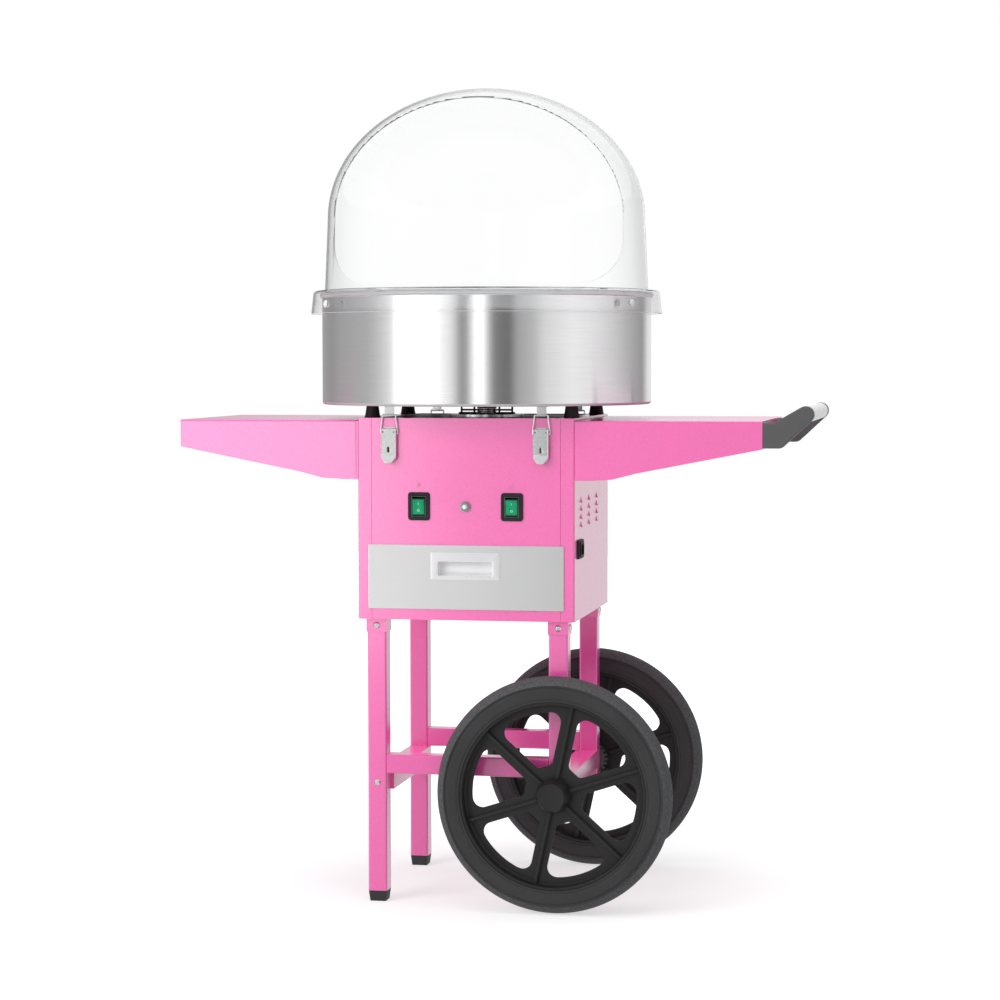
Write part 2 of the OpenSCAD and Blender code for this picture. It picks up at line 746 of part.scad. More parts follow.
// A bent sheet tray, drawn on the left: an inverted channel cut to its side outline
module tray_left() {
    root = side_x + tray_gap;
    low = tray_top - tray_root_h;
    bend_x = side_x + tray_flat;
    slope = (tray_root_h - tray_end_h) / (tray_reach - bend_x);
    ease = 60;
    outline = [
        [-tray_reach, tray_top, 0], [-tray_reach, tray_top - tray_end_h, 0],
        [-bend_x - ease, low + slope * ease, 0], [-bend_x - ease * 0.35, low + slope * ease * 0.16, 0],
        [-bend_x + ease * 0.2, low, 0], [-root, low, 0], [-root, tray_top, 0]
    ];
    intersection() {
        across_y(-face_y, face_y) polygon(rounded(outline));
        difference() {
            across_x(-tray_reach, -root) polygon(rounded([
                [-face_y, low - 1, 0], [face_y, low - 1, 0],
                [face_y, tray_top, bend_r], [-face_y, tray_top, bend_r]
            ]));
            across_x(sheet - tray_reach, -root + 1) polygon(rounded([
                [sheet - face_y, low - 2, 0], [face_y - sheet, low - 2, 0],
                [face_y - sheet, tray_top - sheet, bend_r - sheet],
                [sheet - face_y, tray_top - sheet, bend_r - sheet]
            ]));
        }
    }
    block([-root, 1 - face_y, low], [-side_x, face_y - 1, low + fold_w]);
    difference() {
        block([-root - 1, sheet - face_y, low], [-side_x, face_y - sheet, tray_top - sheet]);
        block([-root - 2, 2 * sheet - face_y, low + sheet],
            [-side_x - sheet, face_y - 2 * sheet, tray_top - 2 * sheet]);
    }
}

module left_tray() {
    color(pink) in_cart() tray_left();
}

module right_tray() {
    color(pink) in_cart() flip_x(-1) tray_left();
}

arm_top_slope = 30;
arm_low_slope = 43;

// A moulded arm: a square root on the tray's end, rising to a round end about the grip
module handle_arm(end) {
    root_top = tray_top - 2.5;
    root_low = tray_top - tray_end_h + 1.5;
    r = arm_end_r;
    first = arm_low_slope - 90;
    last = arm_top_slope + 90;
    sweep = [for (i = [0:12]) let (a = first + (last - first) * i / 12)
        [grip_x + r * cos(a), grip_z + r * sin(a), 0]];
    low_knee = sweep[0].x - (sweep[0].y - root_low) / tan(arm_low_slope);
    top_knee = sweep[12].x - (sweep[12].y - root_top) / tan(arm_top_slope);
    color(dark_grey) in_cart() flip_y(end) difference() {
        across_y(face_y - arm_t, face_y) polygon(rounded(concat(
            [[tray_reach, root_low, 0], [low_knee, root_low, 10]], sweep,
            [[top_knee, root_top, 14], [tray_reach, root_top, 0]])));
        translate([grip_x, 0, grip_z]) bar_y(grip_d / 2 + running, face_y - arm_t - 1, face_y - arm_cheek);
    }
}

// The grip tube, held in a socket of each arm
module handle_grip() {
    half = face_y - arm_cheek - running;
    color(pale_grey) in_cart() translate([grip_x, 0, grip_z]) difference() {
        bar_y(grip_d / 2, -half, half);
        bar_y(grip_d / 2 - tube_wall, -half - 1, half + 1);
    }
}

// The open drawer box behind the front
module drawer_box() {
    color(steel) in_cart() difference() {
        block([-box_half, front_back_y, box_low], [box_half, front_back_y + drawer_depth, box_high]);
        block([drawer_wall - box_half, front_back_y + drawer_wall, box_low + drawer_wall],
            [box_half - drawer_wall, front_back_y + drawer_depth - drawer_wall, box_high + 1]);
        pull_hole();
    }
}

// The hole for the cup pull's pocket
module pull_hole() {
    grow = pull_wall + 2 * seat;
    block([-pocket_w / 2 - grow, -face_y - 10, pocket_low - grow],
        [pocket_w / 2 + grow, -face_y + 3, pocket_top + 2 * seat]);
}

// The brushed plate that overlaps the opening
module drawer_front() {
    color(steel) in_cart() difference() {
        across_y(front_back_y - drawer_t, front_back_y) translate([0, cabinet_z + drawer_z + drawer_h / 2])
            polygon(rounded(rect(drawer_w, drawer_h, 1)));
        pull_hole();
    }
}

// A pressed cup pull: a flange with a pocket that reaches up behind it
module cup_pull() {
    face = front_back_y - drawer_t;
    flange_t = 2;
    color(zinc) in_cart() difference() {
        union() {
            across_y(face - flange_t, face) translate([0, pull_z])
                polygon(rounded(rect(pull_w, pull_h, 2.5)));
            across_y(face, face + pull_depth + pull_wall) pocket_outline(pull_wall, pocket_top);
        }
        across_y(face, face + pull_depth) pocket_outline(0, pocket_top - pull_wall);
        across_y(face - flange_t - 1, face + 1) pocket_outline(0, pocket_high);
    }
}

// The pocket's outline in XZ, grown by a wall on three sides
module pocket_outline(grow, top) {
    half = pocket_w / 2 + grow;
    low = pocket_low - grow;
    polygon(rounded([
        [-half, low, pocket_r], [half, low, pocket_r], [half, top, pocket_r], [-half, top, pocket_r]
    ], 4));
}

// Angle runners that stand on the floor pan under the drawer's sides
module drawer_runners() {
    x = box_half + sliding;
    ledge_x = x - runner_ledge;
    ledge_z = box_low - seat;
    near = fold_w + sheet - face_y;
    far = drawer_depth - face_y;
    color(zinc) in_cart() for (side = [-1, 1]) flip_x(side) {
        block([x, near, cabinet_z + sheet], [x + sheet, far, box_low + runner_side_h]);
        block([ledge_x, near, ledge_z - sheet], [x, far, ledge_z]);
        block([ledge_x, near, cabinet_z + sheet], [x, far, cabinet_z + 2 * sheet]);
    }
}

// Latch places, drawn for the front and turned round for the back
latch_z = cabinet_top - latch_drop;
pin_r = 1.5;
ear_x = latch_w / 2 - 3.5;
lever_t = 1.2;
lever_top = 1.5;
bail_drop = 13;
bail_len = bowl_z - bail_drop - latch_z + bail_arm;
bail_knee = 2.5;

module at_latch(side, end) {
    in_cart() rotate(end < 0 ? 0 : 180) translate([side * -end * latch_x, -face_y, latch_z]) children();
}

// The screwed plate with two ears and the pivot pin; the ears stay inside the lever's swing
module latch_plate() {
    half = ear_x + 1;
    ear_r = 2.6;
    across_y(-lever_t, 0) polygon(rounded([
        [-half, 4 - latch_len, 3], [half, 4 - latch_len, 3], [half, 4, 1], [-half, 4, 1]]));
    for (side = [-1, 1]) flip_x(side) across_x(ear_x - lever_t, ear_x) polygon(rounded([
        [0, -4.5, 0], [-latch_out - ear_r, -4.5, 2.2], [-latch_out - ear_r, ear_r, 2.2],
        [-latch_out, ear_r, 1], [0, 0.2, 0]]));
    translate([0, -latch_out, 0]) bar_x(pin_r, -latch_w / 2, latch_w / 2);
}

module latch_plates() {
    color(zinc) for (side = [-1, 1], end = [-1, 1]) at_latch(side, end) latch_plate();
}

// The lever: a channel with a round toe, bored for the pivot pin and the bail's ends
module lever(side, end) {
    half = latch_w / 2;
    face = -latch_out - 4.2;
    color(zinc) at_latch(side, end) difference() {
        intersection() {
            union() {
                across_y(face, face + lever_t) lever_outline();
                for (s = [-1, 1]) flip_x(s) across_x(half - lever_t, half) polygon(rounded([
                    [face, 9 - latch_len, 0], [face + 5, 14 - latch_len, 2], [-1.9, -bail_arm - 6, 3],
                    [-1.9, 1 - bail_arm, 2.5], [3.3 - latch_out, lever_top, 2], [face, lever_top, 0]]));
            }
            across_y(face, 0) lever_outline();
        }
        translate([0, -latch_out, 0]) bar_x(pin_r + running, -latch_w, latch_w);
        translate([0, 1 - latch_out, -bail_arm]) bar_x(wire_d / 2 + running, -latch_w, latch_w);
        translate([0, 0, -keyhole_drop]) across_y(face - 1, face + 3) polygon(rounded(rect(4, 9, 1.9)));
    }
}

module lever_outline() {
    half = latch_w / 2;
    polygon(rounded([
        [-half, lever_top, 1], [-half, 10 - latch_len, 6], [7 - half, -latch_len, 6],
        [half - 7, -latch_len, 6], [half, 10 - latch_len, 6], [half, lever_top, 1]]));
}

// The wire bail: two feet in the lever, two sides and a head over the catch, with a ball at each bend
module bail(side, end) {
    r = wire_d / 2;
    foot = bail_w / 2 - r;
    head = bail_head_w / 2 - r;
    bends = [[foot, 0], [head, bail_len - bail_knee], [head - bail_knee, bail_len]];
    color(zinc) at_latch(side, end) translate([0, 1 - latch_out, -bail_arm]) {
        translate([0, 0, bail_len]) bar_x(r, bail_knee - head, head - bail_knee);
        for (s = [-1, 1]) flip_x(s) {
            bar_x(r, ear_x + 0.4, foot);
            for (p = bends) translate([p.x, 0, p.y]) sphere(r = r + 0.15);
            for (i = [1:2]) wire_side(bends[i - 1], bends[i], r);
        }
    }
}

// A straight wire between two points of the XZ plane
module wire_side(a, b, r) {
    run = b - a;
    translate([a.x, 0, a.y]) rotate([0, atan2(run.x, run.y), 0]) cylinder(r = r, h = norm(run));
}

// Hooks under the bowl: a tab, a wall and a lip that each bail pulls on
module catch_hooks() {
    lip_z = bail_len - bail_arm - wire_d / 2 - seat;
    tab_z = bowl_z - latch_z;
    tab_in = 22;
    lip_out = -7.4;
    hook_y = -2.1;
    hook_t = 1.5;
    color(zinc) for (side = [-1, 1], end = [-1, 1]) at_latch(side, end)
        across_x(-catch_w / 2, catch_w / 2) polygon(rounded([
            [tab_in, tab_z, 0], [tab_in, tab_z - hook_t, 0], [hook_y + hook_t, tab_z - hook_t, 1],
            [hook_y + hook_t, lip_z - hook_t, 1.5], [lip_out, lip_z - hook_t + 0.2, 0.6],
            [lip_out, lip_z + 0.2, 0.6], [hook_y, lip_z, 0.4], [hook_y, tab_z, 1.5]
        ], 3));
}

hub_hole_r = shaft_r + 20;
collar_h = 16;

// A round bowl with a rolled rim and a collar round the shaft
module bowl() {
    t = bowl_t;
    color(steel) in_cart() translate([0, 0, bowl_z]) rotate_extrude($fn = 128) {
        bead_z = bowl_h - bead_r;
        polygon(rounded([
            [hub_hole_r, 0, 0], [bowl_r, 0, bowl_edge_r], [bowl_r, bead_z, 0], [bowl_r - t, bead_z, 0],
            [bowl_r - t, t, bowl_edge_r - t], [hub_hole_r + t, t, 0],
            [hub_hole_r + t, collar_h, 0], [hub_hole_r, collar_h, 0]
        ], 6));
        translate([bowl_r, bead_z]) circle(r = bead_r, $fn = 24);
    }
}

// Conical buffers that stand on the side panels' top flanges
module bowl_buffers() {
    foot_r = 12.3;
    color(black) in_cart() for (side = [-1, 1], end = [-1, 1])
        translate([side * (side_x - foot_r), end * buffer_y, cabinet_top]) {
            cylinder(r = foot_r, h = 2);
            translate([0, 0, 2]) cylinder(r1 = foot_r, r2 = foot_r - 2.8, h = buffer_h - 2);
        }
}

// Dome section: skirt, ledge over the bead, upright wall with draw, elliptical crown
foot_x = bowl_r - 0.5;
shoulder_x = bowl_r + bead_r + 9;
skirt_x = bowl_r + skirt_out;
crown_z = bowl_h + dome_wall_h;
crown_a = foot_x - dome_draw;
crown_b = bowl_h + dome_h - crown_z;
crown_steps = 22;

module dome_section() {
    t = dome_t;
    ledge = bowl_h + seat;
    polygon(concat(
        [[skirt_x - t, bowl_h - skirt_h], [skirt_x, bowl_h - skirt_h]],
        corner([skirt_x, bowl_h - skirt_h], [shoulder_x, ledge + t], [foot_x, ledge + t], 6, 5),
        [[foot_x, ledge + t]],
        [for (i = [0:crown_steps]) let (a = 90 * i / crown_steps)
            [crown_a * cos(a), crown_z + crown_b * sin(a)]],
        [for (i = [0:crown_steps]) let (a = 90 - 90 * i / crown_steps)
            [(crown_a - t) * cos(a), crown_z + (crown_b - t) * sin(a)]],
        [[foot_x - t, ledge]],
        corner([foot_x, ledge], [shoulder_x - t, ledge], [skirt_x - t, bowl_h - skirt_h], 3, 4)
    ));
}

// Front outline of the serving opening: round lower corners under a half ellipse
module opening_outline() {
    half = opening_w / 2;
    sill = bowl_h + sill_h;
    spring_z = crown_z - 4;
    rise = bowl_h + dome_h - brow_h - spring_z;
    polygon(concat(
        corner([half, spring_z], [half, sill], [0, sill], sill_corner_r, 8),
        corner([0, sill], [-half, sill], [-half, spring_z], sill_corner_r, 8),
        [for (i = [0:32]) let (a = 180 - 180 * i / 32) [half * cos(a), spring_z + rise * sin(a)]]
    ));
}

module in_dome() {
    in_cart() translate([0, 0, bowl_z]) rotate(dome_turn) children();
}

clip_drop = 19;
clip_r = 3;
clip_tilt = atan2(skirt_x - shoulder_x, skirt_h + dome_t);
clip_x = shoulder_x + (skirt_x - shoulder_x) * (clip_drop + dome_t) / (skirt_h + dome_t);

// Clip places round the skirt, with Z along each clip's axis
module at_clips() {
    in_dome() for (a = [-154, -26, 26, 154]) rotate(a) translate([clip_x, 0, bowl_h - clip_drop])
        rotate([0, 90 - clip_tilt, 0]) children();
}

// The clear dome with its serving opening
module dome() {
    color(clear) difference() {
        in_dome() rotate_extrude($fn = 128) dome_section();
        in_dome() across_y(-skirt_x, 0) opening_outline();
        at_clips() translate([0, 0, -2 * dome_t]) cylinder(r = clip_r + running, h = 4 * dome_t);
    }
}

// White clips through the skirt: a button outside and a pad inside
module dome_clips() {
    pad_z = -dome_t - 2.5;
    color(white) at_clips() {
        translate([0, 0, pad_z]) cylinder(r = clip_r, h = dome_t + 4);
        translate([0, 0, 0.2]) cylinder(r1 = 2 * clip_r, r2 = clip_r + 2, h = 2.6);
        translate([0, 0, pad_z]) cylinder(r = clip_r + 2, h = 2.2);
    }
}

// Switch places
rocker_y = 1;
cavity_h = rocker_h / 2 + sliding + seat;
module at_switch(side) {
    in_cart() translate([side * switch_x, -face_y, cabinet_z + switch_z]) children();
}

// Two bezels with their housings, open in front for the rockers
module switch_bezels() {
    color(black) for (side = [-1, 1]) at_switch(side) difference() {
        union() {
            across_y(-bezel_t, 0) polygon(rounded(rect(bezel_w, bezel_h, 4)));
            across_y(0, switch_depth)
                polygon(rounded(rect(bezel_hole_w - 2 * seat, bezel_hole_h - 2 * seat, 1)));
        }
        across_y(-bezel_t - 1, rocker_room) polygon(rounded(rect(rocker_w + 2 * seat, 2 * cavity_h, 1)));
        translate([0, rocker_y, 0]) bar_x(pin_r + running, -rocker_w / 2 - 1.3, rocker_w / 2 + 1.3);
    }
}

// A rocker with a hollow face, resting with its lower end pressed in
module rocker(side) {
    half = rocker_h / 2;
    color(green) at_switch(side) translate([0, rocker_y, 0]) rotate([rocker_tilt, 0, 0]) {
        across_x(-rocker_w / 2, rocker_w / 2) polygon(rounded([
            [-7.2, half, 0.8], [-5.4, 0, 30], [-7.2, -half, 0.8],
            [3, 5 - half, 2], [6, 0, 6], [3, half - 5, 2]], 5));
        bar_x(pin_r, -rocker_w / 2 - 1, rocker_w / 2 + 1);
    }
}

button_end = 9;
neck_out = 6;

// The reset breaker: nut, threaded neck and the case behind the panel
module reset_bush() {
    color(zinc) in_cart() translate([0, -face_y, cabinet_z + switch_z]) difference() {
        union() {
            translate([0, -2.8, 0]) rotate([-90, 0, 0]) cylinder(r = reset_nut_r, h = 2.8);
            bar_y(reset_thread_r, -neck_out, sheet);
            bar_y(reset_thread_r + 3, sheet, reset_depth);
        }
        bar_y(reset_r + running, -neck_out - 1, button_end + reset_travel + seat);
    }
}

// The button stands out of the neck by its travel and a little more
module reset_button() {
    out = neck_out + reset_travel + 0.5;
    bevel = 0.6;
    color(pale_grey) in_cart() translate([0, -face_y, cabinet_z + switch_z]) rotate([-90, 0, 0]) {
        translate([0, 0, -out]) cylinder(r1 = reset_r - bevel, r2 = reset_r, h = bevel);
        translate([0, 0, bevel - out]) cylinder(r = reset_r, h = out - bevel + button_end);
    }
}

// The three-pin mains inlet in the right side
module mains_inlet() {
    pin = [12, 2, 4];
    socket_depth = 14;
    color(black) in_cart() translate([side_x, inlet_y, cabinet_z + inlet_z]) {
        difference() {
            union() {
                across_x(0, 3) polygon(rounded(rect(inlet_w, inlet_h, 3)));
                across_x(3, 5) polygon(rounded(rect(inlet_body_w, inlet_body_h, 3)));
                across_x(-inlet_depth, 0) square([inlet_body_w, inlet_body_h], center = true);
            }
            across_x(-socket_depth, 6) polygon(rounded([
                [-12, -8, 2], [12, -8, 2], [12, 4, 4], [8, 8, 2], [-8, 8, 2], [-12, 4, 4]]));
        }
        for (p = [[-7, -2], [0, 3], [7, -2]])
            translate([pin.x / 2 - socket_depth, p.x, p.y]) cube(pin, center = true);
    }
}

plate_r = 60;
plate_t = 4.5;
deck_low = cabinet_top - 2 * sheet;
deck_high = cabinet_top - sheet;
shaft_low = deck_low - motor_h * 0.6 + seat;

// Motor hung through the deck from a round mounting plate
module motor() {
    color(steel) in_cart() difference() {
        union() {
            translate([0, 0, deck_low - motor_h]) cylinder(r = motor_r, h = motor_h);
            translate([0, 0, deck_low - 1]) cylinder(r = motor_r - 6 - seat, h = sheet + 2);
            translate([0, 0, deck_high]) cylinder(r = plate_r, h = plate_t);
        }
        translate([0, 0, shaft_low - seat]) cylinder(r = shaft_r + running, h = motor_h);
    }
}

drum_low = deck_high + plate_t + seat;
drum_h = 11;

// Brush blocks on the motor's plate, each with two posts and a brush bar
module brush_holder() {
    base_z = deck_high + plate_t;
    near = drum_r + 5;
    far = drum_r + 26;
    color(black) in_cart() for (side = [-1, 1]) flip_x(side) {
        block([near - 4, -9, base_z], [far + 3, 9, base_z + 3]);
        for (x = [near, far]) translate([x, 0, base_z + 3]) cylinder(r = 1.6, h = drum_h - 1);
        block([drum_r + seat, -2.5, base_z + 5], [far, 2.5, base_z + 8]);
    }
}

// Head places above the bowl's floor
head_z = bowl_z + head_lift;
head_top = head_z + head_h;
bore_r = shaft_r + running;
boss_r = shaft_r + 6;

module spinner_shaft() {
    color(zinc) in_cart() {
        translate([0, 0, shaft_low]) cylinder(r = shaft_r, h = head_top + knob_h - shaft_low);
        difference() {
            translate([0, 0, drum_low]) cylinder(r = drum_r, h = drum_h);
            for (k = [1:3]) translate([0, 0, drum_low + k * drum_h / 4 - 0.4]) difference() {
                cylinder(r = drum_r + 1, h = 0.8);
                cylinder(r = drum_r - 1, h = 0.8);
            }
        }
    }
}

// The head: a pan with a hub and a slotted wall
module spinner_head() {
    wall = 2;
    color(steel) in_cart() translate([0, 0, head_z]) difference() {
        rotate_extrude() polygon([
            [bore_r, -8], [boss_r, -8], [boss_r, 0], [head_r, 0], [head_r, head_h],
            [head_r - wall, head_h], [head_r - wall, wall], [boss_r, wall], [boss_r, head_h - 4],
            [bore_r, head_h - 4]
        ]);
        for (k = [0:head_slots - 1]) rotate(k * 360 / head_slots)
            translate([head_r - 4, -1.5, 6]) cube([8, 3, head_h - 12]);
    }
}

// The head's lid: a cone with a sugar mouth, three arms and a clamping knob
module spinner_cap() {
    color(steel) in_cart() translate([0, 0, head_top]) {
        rotate_extrude() polygon([
            [head_r, 0], [head_r, 2], [mouth_r + 2, 9], [mouth_r + 2, 13],
            [mouth_r, 13], [mouth_r, 7], [head_r - 6, 0]
        ]);
        for (k = [0:2]) rotate(k * 120) translate([boss_r - 2, -3, 8]) cube([mouth_r - boss_r + 3, 6, 3]);
        difference() {
            translate([0, 0, -4]) cylinder(r = boss_r, h = knob_h + 4);
            translate([0, 0, -5]) cylinder(r = bore_r, h = knob_h + 6);
        }
    }
}

leg(-1, -1, foot_h);  // front_left_leg
leg(-1, 1, foot_h);  // rear_left_leg
leg(1, -1, short_leg_z);  // front_right_leg
leg(1, 1, short_leg_z);  // rear_right_leg
rubber_feet();
leg_sockets();
cross_rail(-1);  // front_rail
cross_rail(1);  // rear_rail
side_rail(-1);  // left_side_rail
side_rail(1);  // right_side_rail
frame_screws();
wheel_axle();
wheel_rim(-1);  // front_wheel_rim
tyre(-1);  // front_tyre
hub_cap(-1);  // front_hub_cap
hub_bush(-1);  // front_hub_bush
wheel_rim(1);  // rear_wheel_rim
tyre(1);  // rear_tyre
hub_cap(1);  // rear_hub_cap
hub_bush(1);  // rear_hub_bush
floor_pan();
left_side_panel();
right_side_panel();
front_panel();
back_panel();
top_deck();
left_tray();
right_tray();
handle_arm(-1);  // front_handle_arm
handle_arm(1);  // rear_handle_arm
handle_grip();
drawer_box();
drawer_front();
cup_pull();
drawer_runners();
latch_plates();
catch_hooks();
lever(-1, -1);  // front_left_lever
lever(1, -1);  // front_right_lever
lever(-1, 1);  // rear_left_lever
lever(1, 1);  // rear_right_lever
bail(-1, -1);  // front_left_bail
bail(1, -1);  // front_right_bail
bail(-1, 1);  // rear_left_bail
bail(1, 1);  // rear_right_bail
bowl();
bowl_buffers();
dome();
dome_clips();
switch_bezels();
rocker(-1);  // left_rocker
rocker(1);  // right_rocker
reset_bush();
reset_button();
mains_inlet();
motor();
brush_holder();
spinner_shaft();
spinner_head();
spinner_cap();
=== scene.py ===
import json
import math

import bmesh
import bpy
from mathutils import Matrix, Vector, geometry

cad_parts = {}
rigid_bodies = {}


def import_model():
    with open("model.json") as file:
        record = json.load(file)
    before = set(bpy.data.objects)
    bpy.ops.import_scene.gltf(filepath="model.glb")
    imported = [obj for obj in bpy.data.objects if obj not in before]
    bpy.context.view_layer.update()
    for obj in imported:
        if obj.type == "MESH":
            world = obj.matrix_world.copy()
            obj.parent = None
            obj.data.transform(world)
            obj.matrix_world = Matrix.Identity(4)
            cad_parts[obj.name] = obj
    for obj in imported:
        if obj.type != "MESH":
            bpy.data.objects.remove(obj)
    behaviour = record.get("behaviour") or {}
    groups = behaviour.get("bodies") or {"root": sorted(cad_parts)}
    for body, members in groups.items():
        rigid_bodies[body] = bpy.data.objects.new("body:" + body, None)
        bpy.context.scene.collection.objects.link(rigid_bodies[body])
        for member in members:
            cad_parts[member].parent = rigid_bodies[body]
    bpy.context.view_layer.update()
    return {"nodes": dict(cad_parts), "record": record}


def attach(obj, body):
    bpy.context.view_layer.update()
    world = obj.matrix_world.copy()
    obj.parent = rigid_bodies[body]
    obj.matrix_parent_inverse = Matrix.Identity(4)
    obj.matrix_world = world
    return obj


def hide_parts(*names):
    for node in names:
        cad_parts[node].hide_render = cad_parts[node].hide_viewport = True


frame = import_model()
nodes = frame["nodes"]
scene = bpy.context.scene

# Lengths in the shapes below are in millimetres
MM = 0.001
CART_X = -38.5
FACE_Y = 171.0
CABINET_Z = 447.0
CABINET_TOP = 761.0
BOWL_Z = 780.3
BOWL_R = 263.5
BOWL_H = 177.0


# Outlines: lists of (x, y) points

def arc(cx, cy, r, a0, a1, steps):
    """Points of an arc about (cx, cy), angles in degrees."""
    angles = [math.radians(a0 + (a1 - a0) * i / steps) for i in range(steps + 1)]
    return [(cx + r * math.cos(a), cy + r * math.sin(a)) for a in angles]


def rounded(corners, steps=6):
    """The closed outline through (x, y, radius) corners, with each corner rounded."""
    out = []
    for i, (x, y, r) in enumerate(corners):
        if r == 0:
            out.append((x, y))
            continue
        b = Vector((x, y))
        u = (Vector(corners[i - 1][:2]) - b).normalized()
        v = (Vector(corners[(i + 1) % len(corners)][:2]) - b).normalized()
        half = u.angle(v) / 2
        mid = b + (u + v).normalized() * (r / math.sin(half))
        p = b + u * (r / math.tan(half)) - mid
        q = b + v * (r / math.tan(half)) - mid
        start = math.atan2(p.y, p.x)
        sweep = (math.atan2(q.y, q.x) - start + math.pi) % (2 * math.pi) - math.pi
        for k in range(steps + 1):
            a = start + sweep * k / steps
            out.append((mid.x + r * math.cos(a), mid.y + r * math.sin(a)))
    return out


def rect(w, h, r, cx=0.0, cy=0.0, steps=6):
    """A rounded rectangle about (cx, cy)."""
    x, y = w / 2, h / 2
    corners = [(cx - x, cy - y, r), (cx + x, cy - y, r), (cx + x, cy + y, r), (cx - x, cy + y, r)]
    return rounded(corners, steps)


def circle(r, cx=0.0, cy=0.0, steps=48):
    """A closed circle about (cx, cy)."""
    return arc(cx, cy, r, 0, 360, steps)[:-1]


# Meshes, built from outlines and profiles

def finished(bm):
    """The mesh of bm, with its faces turned outwards."""
    bmesh.ops.remove_doubles(bm, verts=bm.verts, dist=1e-7)
    bmesh.ops.recalc_face_normals(bm, faces=bm.faces)
    mesh = bpy.data.meshes.new("part")
    bm.to_mesh(mesh)
    bm.free()
    return mesh


def lathe(profile, steps=96, closed=True):
    """Revolves (radius, height) points about Z."""
    bm = bmesh.new()
    rings = []
    for r, z in profile:
        count = steps if r > 1e-6 else 1
        turn = 2 * math.pi / steps
        rings.append([bm.verts.new((r * math.cos(k * turn) * MM, r * math.sin(k * turn) * MM, z * MM))
                      for k in range(count)])
    for a, b in zip(rings, rings[1:] + (rings[:1] if closed else [])):
        for k in range(steps):
            j = (k + 1) % steps
            quad = dict.fromkeys([a[k % len(a)], a[j % len(a)], b[j % len(b)], b[k % len(b)]])
            if len(quad) > 2:
                bm.faces.new(list(quad))
    return finished(bm)


def inset_loop(loop, inward):
    """The loop and its unit mitre vectors, which point into the material."""
    loop = [p for i, p in enumerate(loop) if math.dist(p, loop[i - 1]) > 0.02]
    area = sum(p[0] * q[1] - q[0] * p[1] for p, q in zip(loop, loop[1:] + loop[:1]))
    points = [Vector(p) for p in (loop if area > 0 else loop[::-1])]
    mitres = []
    for i, p in enumerate(points):
        d0 = (p - points[i - 1]).normalized()
        d1 = (points[(i + 1) % len(points)] - p).normalized()
        n = Vector((-d0.y - d1.y, d0.x + d1.x)).normalized()
        scale = 1 / max(0.5, n.dot(Vector((-d1.y, d1.x))))
        mitres.append(n * (scale if inward else -scale))
    return points, mitres


def plate(outlines, z0, z1, bevel=0.3, steps=2, low_bevel=None):
    """A plate between z0 and z1: the first outline is its rim and the others are holes."""
    low_bevel = bevel if low_bevel is None else low_bevel
    quarter = [math.pi / 2 * k / steps for k in range(steps + 1)]
    profile = [(low_bevel * (1 - math.sin(a)), z0 + low_bevel * (1 - math.cos(a))) for a in quarter]
    profile += [(bevel * (1 - math.sin(a)), z1 - bevel * (1 - math.cos(a))) for a in reversed(quarter)]
    profile = list(dict.fromkeys(profile))
    bm = bmesh.new()
    ends = ([], [])
    for i, loop in enumerate(outlines):
        points, mitres = inset_loop(loop, i == 0)
        rings = []
        for inset, z in profile:
            rings.append([bm.verts.new(((p.x + m.x * inset) * MM, (p.y + m.y * inset) * MM, z * MM))
                          for p, m in zip(points, mitres)])
        n = len(points)
        for a, b in zip(rings, rings[1:]):
            for k in range(n):
                bm.faces.new((a[k], a[(k + 1) % n], b[(k + 1) % n], b[k]))
        for ring, edges in zip((rings[0], rings[-1]), ends):
            edges.extend(bm.edges.get((ring[k], ring[(k + 1) % n])) for k in range(n))
    for edges in ends:
        bmesh.ops.triangle_fill(bm, use_beauty=True, edges=edges)
    return finished(bm)


def block(a, b, bevel=0.0, steps=2):
    """A box between two corners, with its edges rounded."""
    bm = bmesh.new()
    size = [q - p for p, q in zip(a, b)]
    mid = [(p + q) / 2 for p, q in zip(a, b)]
    bmesh.ops.create_cube(bm, size=1, matrix=Matrix.Translation(Vector(mid) * MM)
                          @ Matrix.Diagonal([s * MM for s in size] + [1]))
    if bevel:
        bmesh.ops.bevel(bm, geom=bm.edges[:], offset=bevel * MM, segments=steps, profile=0.5,
                        affect="EDGES")
    return finished(bm)


def sweep(path, section, closed=False, up=(0, 0, 1)):
    """Sweeps a closed section of (side, up) offsets along a path of points."""
    points = [Vector(p) for p in path]
    n = len(points)
    bm = bmesh.new()
    rings = []
    normal = Vector(up)
    for i, p in enumerate(points):
        before = points[i - 1] if i or closed else p
        after = points[(i + 1) % n] if i < n - 1 or closed else p
        t = (after - before).normalized()
        normal = (normal - t * normal.dot(t)).normalized()
        side = t.cross(normal)
        rings.append([bm.verts.new((p + side * x + normal * y) * MM) for x, y in section])
    m = len(section)
    for a, b in zip(rings, rings[1:] + (rings[:1] if closed else [])):
        for k in range(m):
            bm.faces.new((a[k], a[(k + 1) % m], b[(k + 1) % m], b[k]))
    if not closed:
        bm.faces.new(rings[0])
        bm.faces.new(rings[-1])
    return finished(bm)


def bent(points, radius, steps=6):
    """A path through 3D points with each inner corner bent to a radius."""
    points = [Vector(p) for p in points]
    out = [points[0]]
    for a, b, c in zip(points, points[1:], points[2:]):
        u, v = (a - b).normalized(), (c - b).normalized()
        half = u.angle(v) / 2
        reach = radius / math.tan(half)
        mid = b + (u + v).normalized() * (radius / math.sin(half))
        p, q = b + u * reach - mid, b + v * reach - mid
        for k in range(steps + 1):
            out.append(mid + p.slerp(q, k / steps))
    return out + [points[-1]]


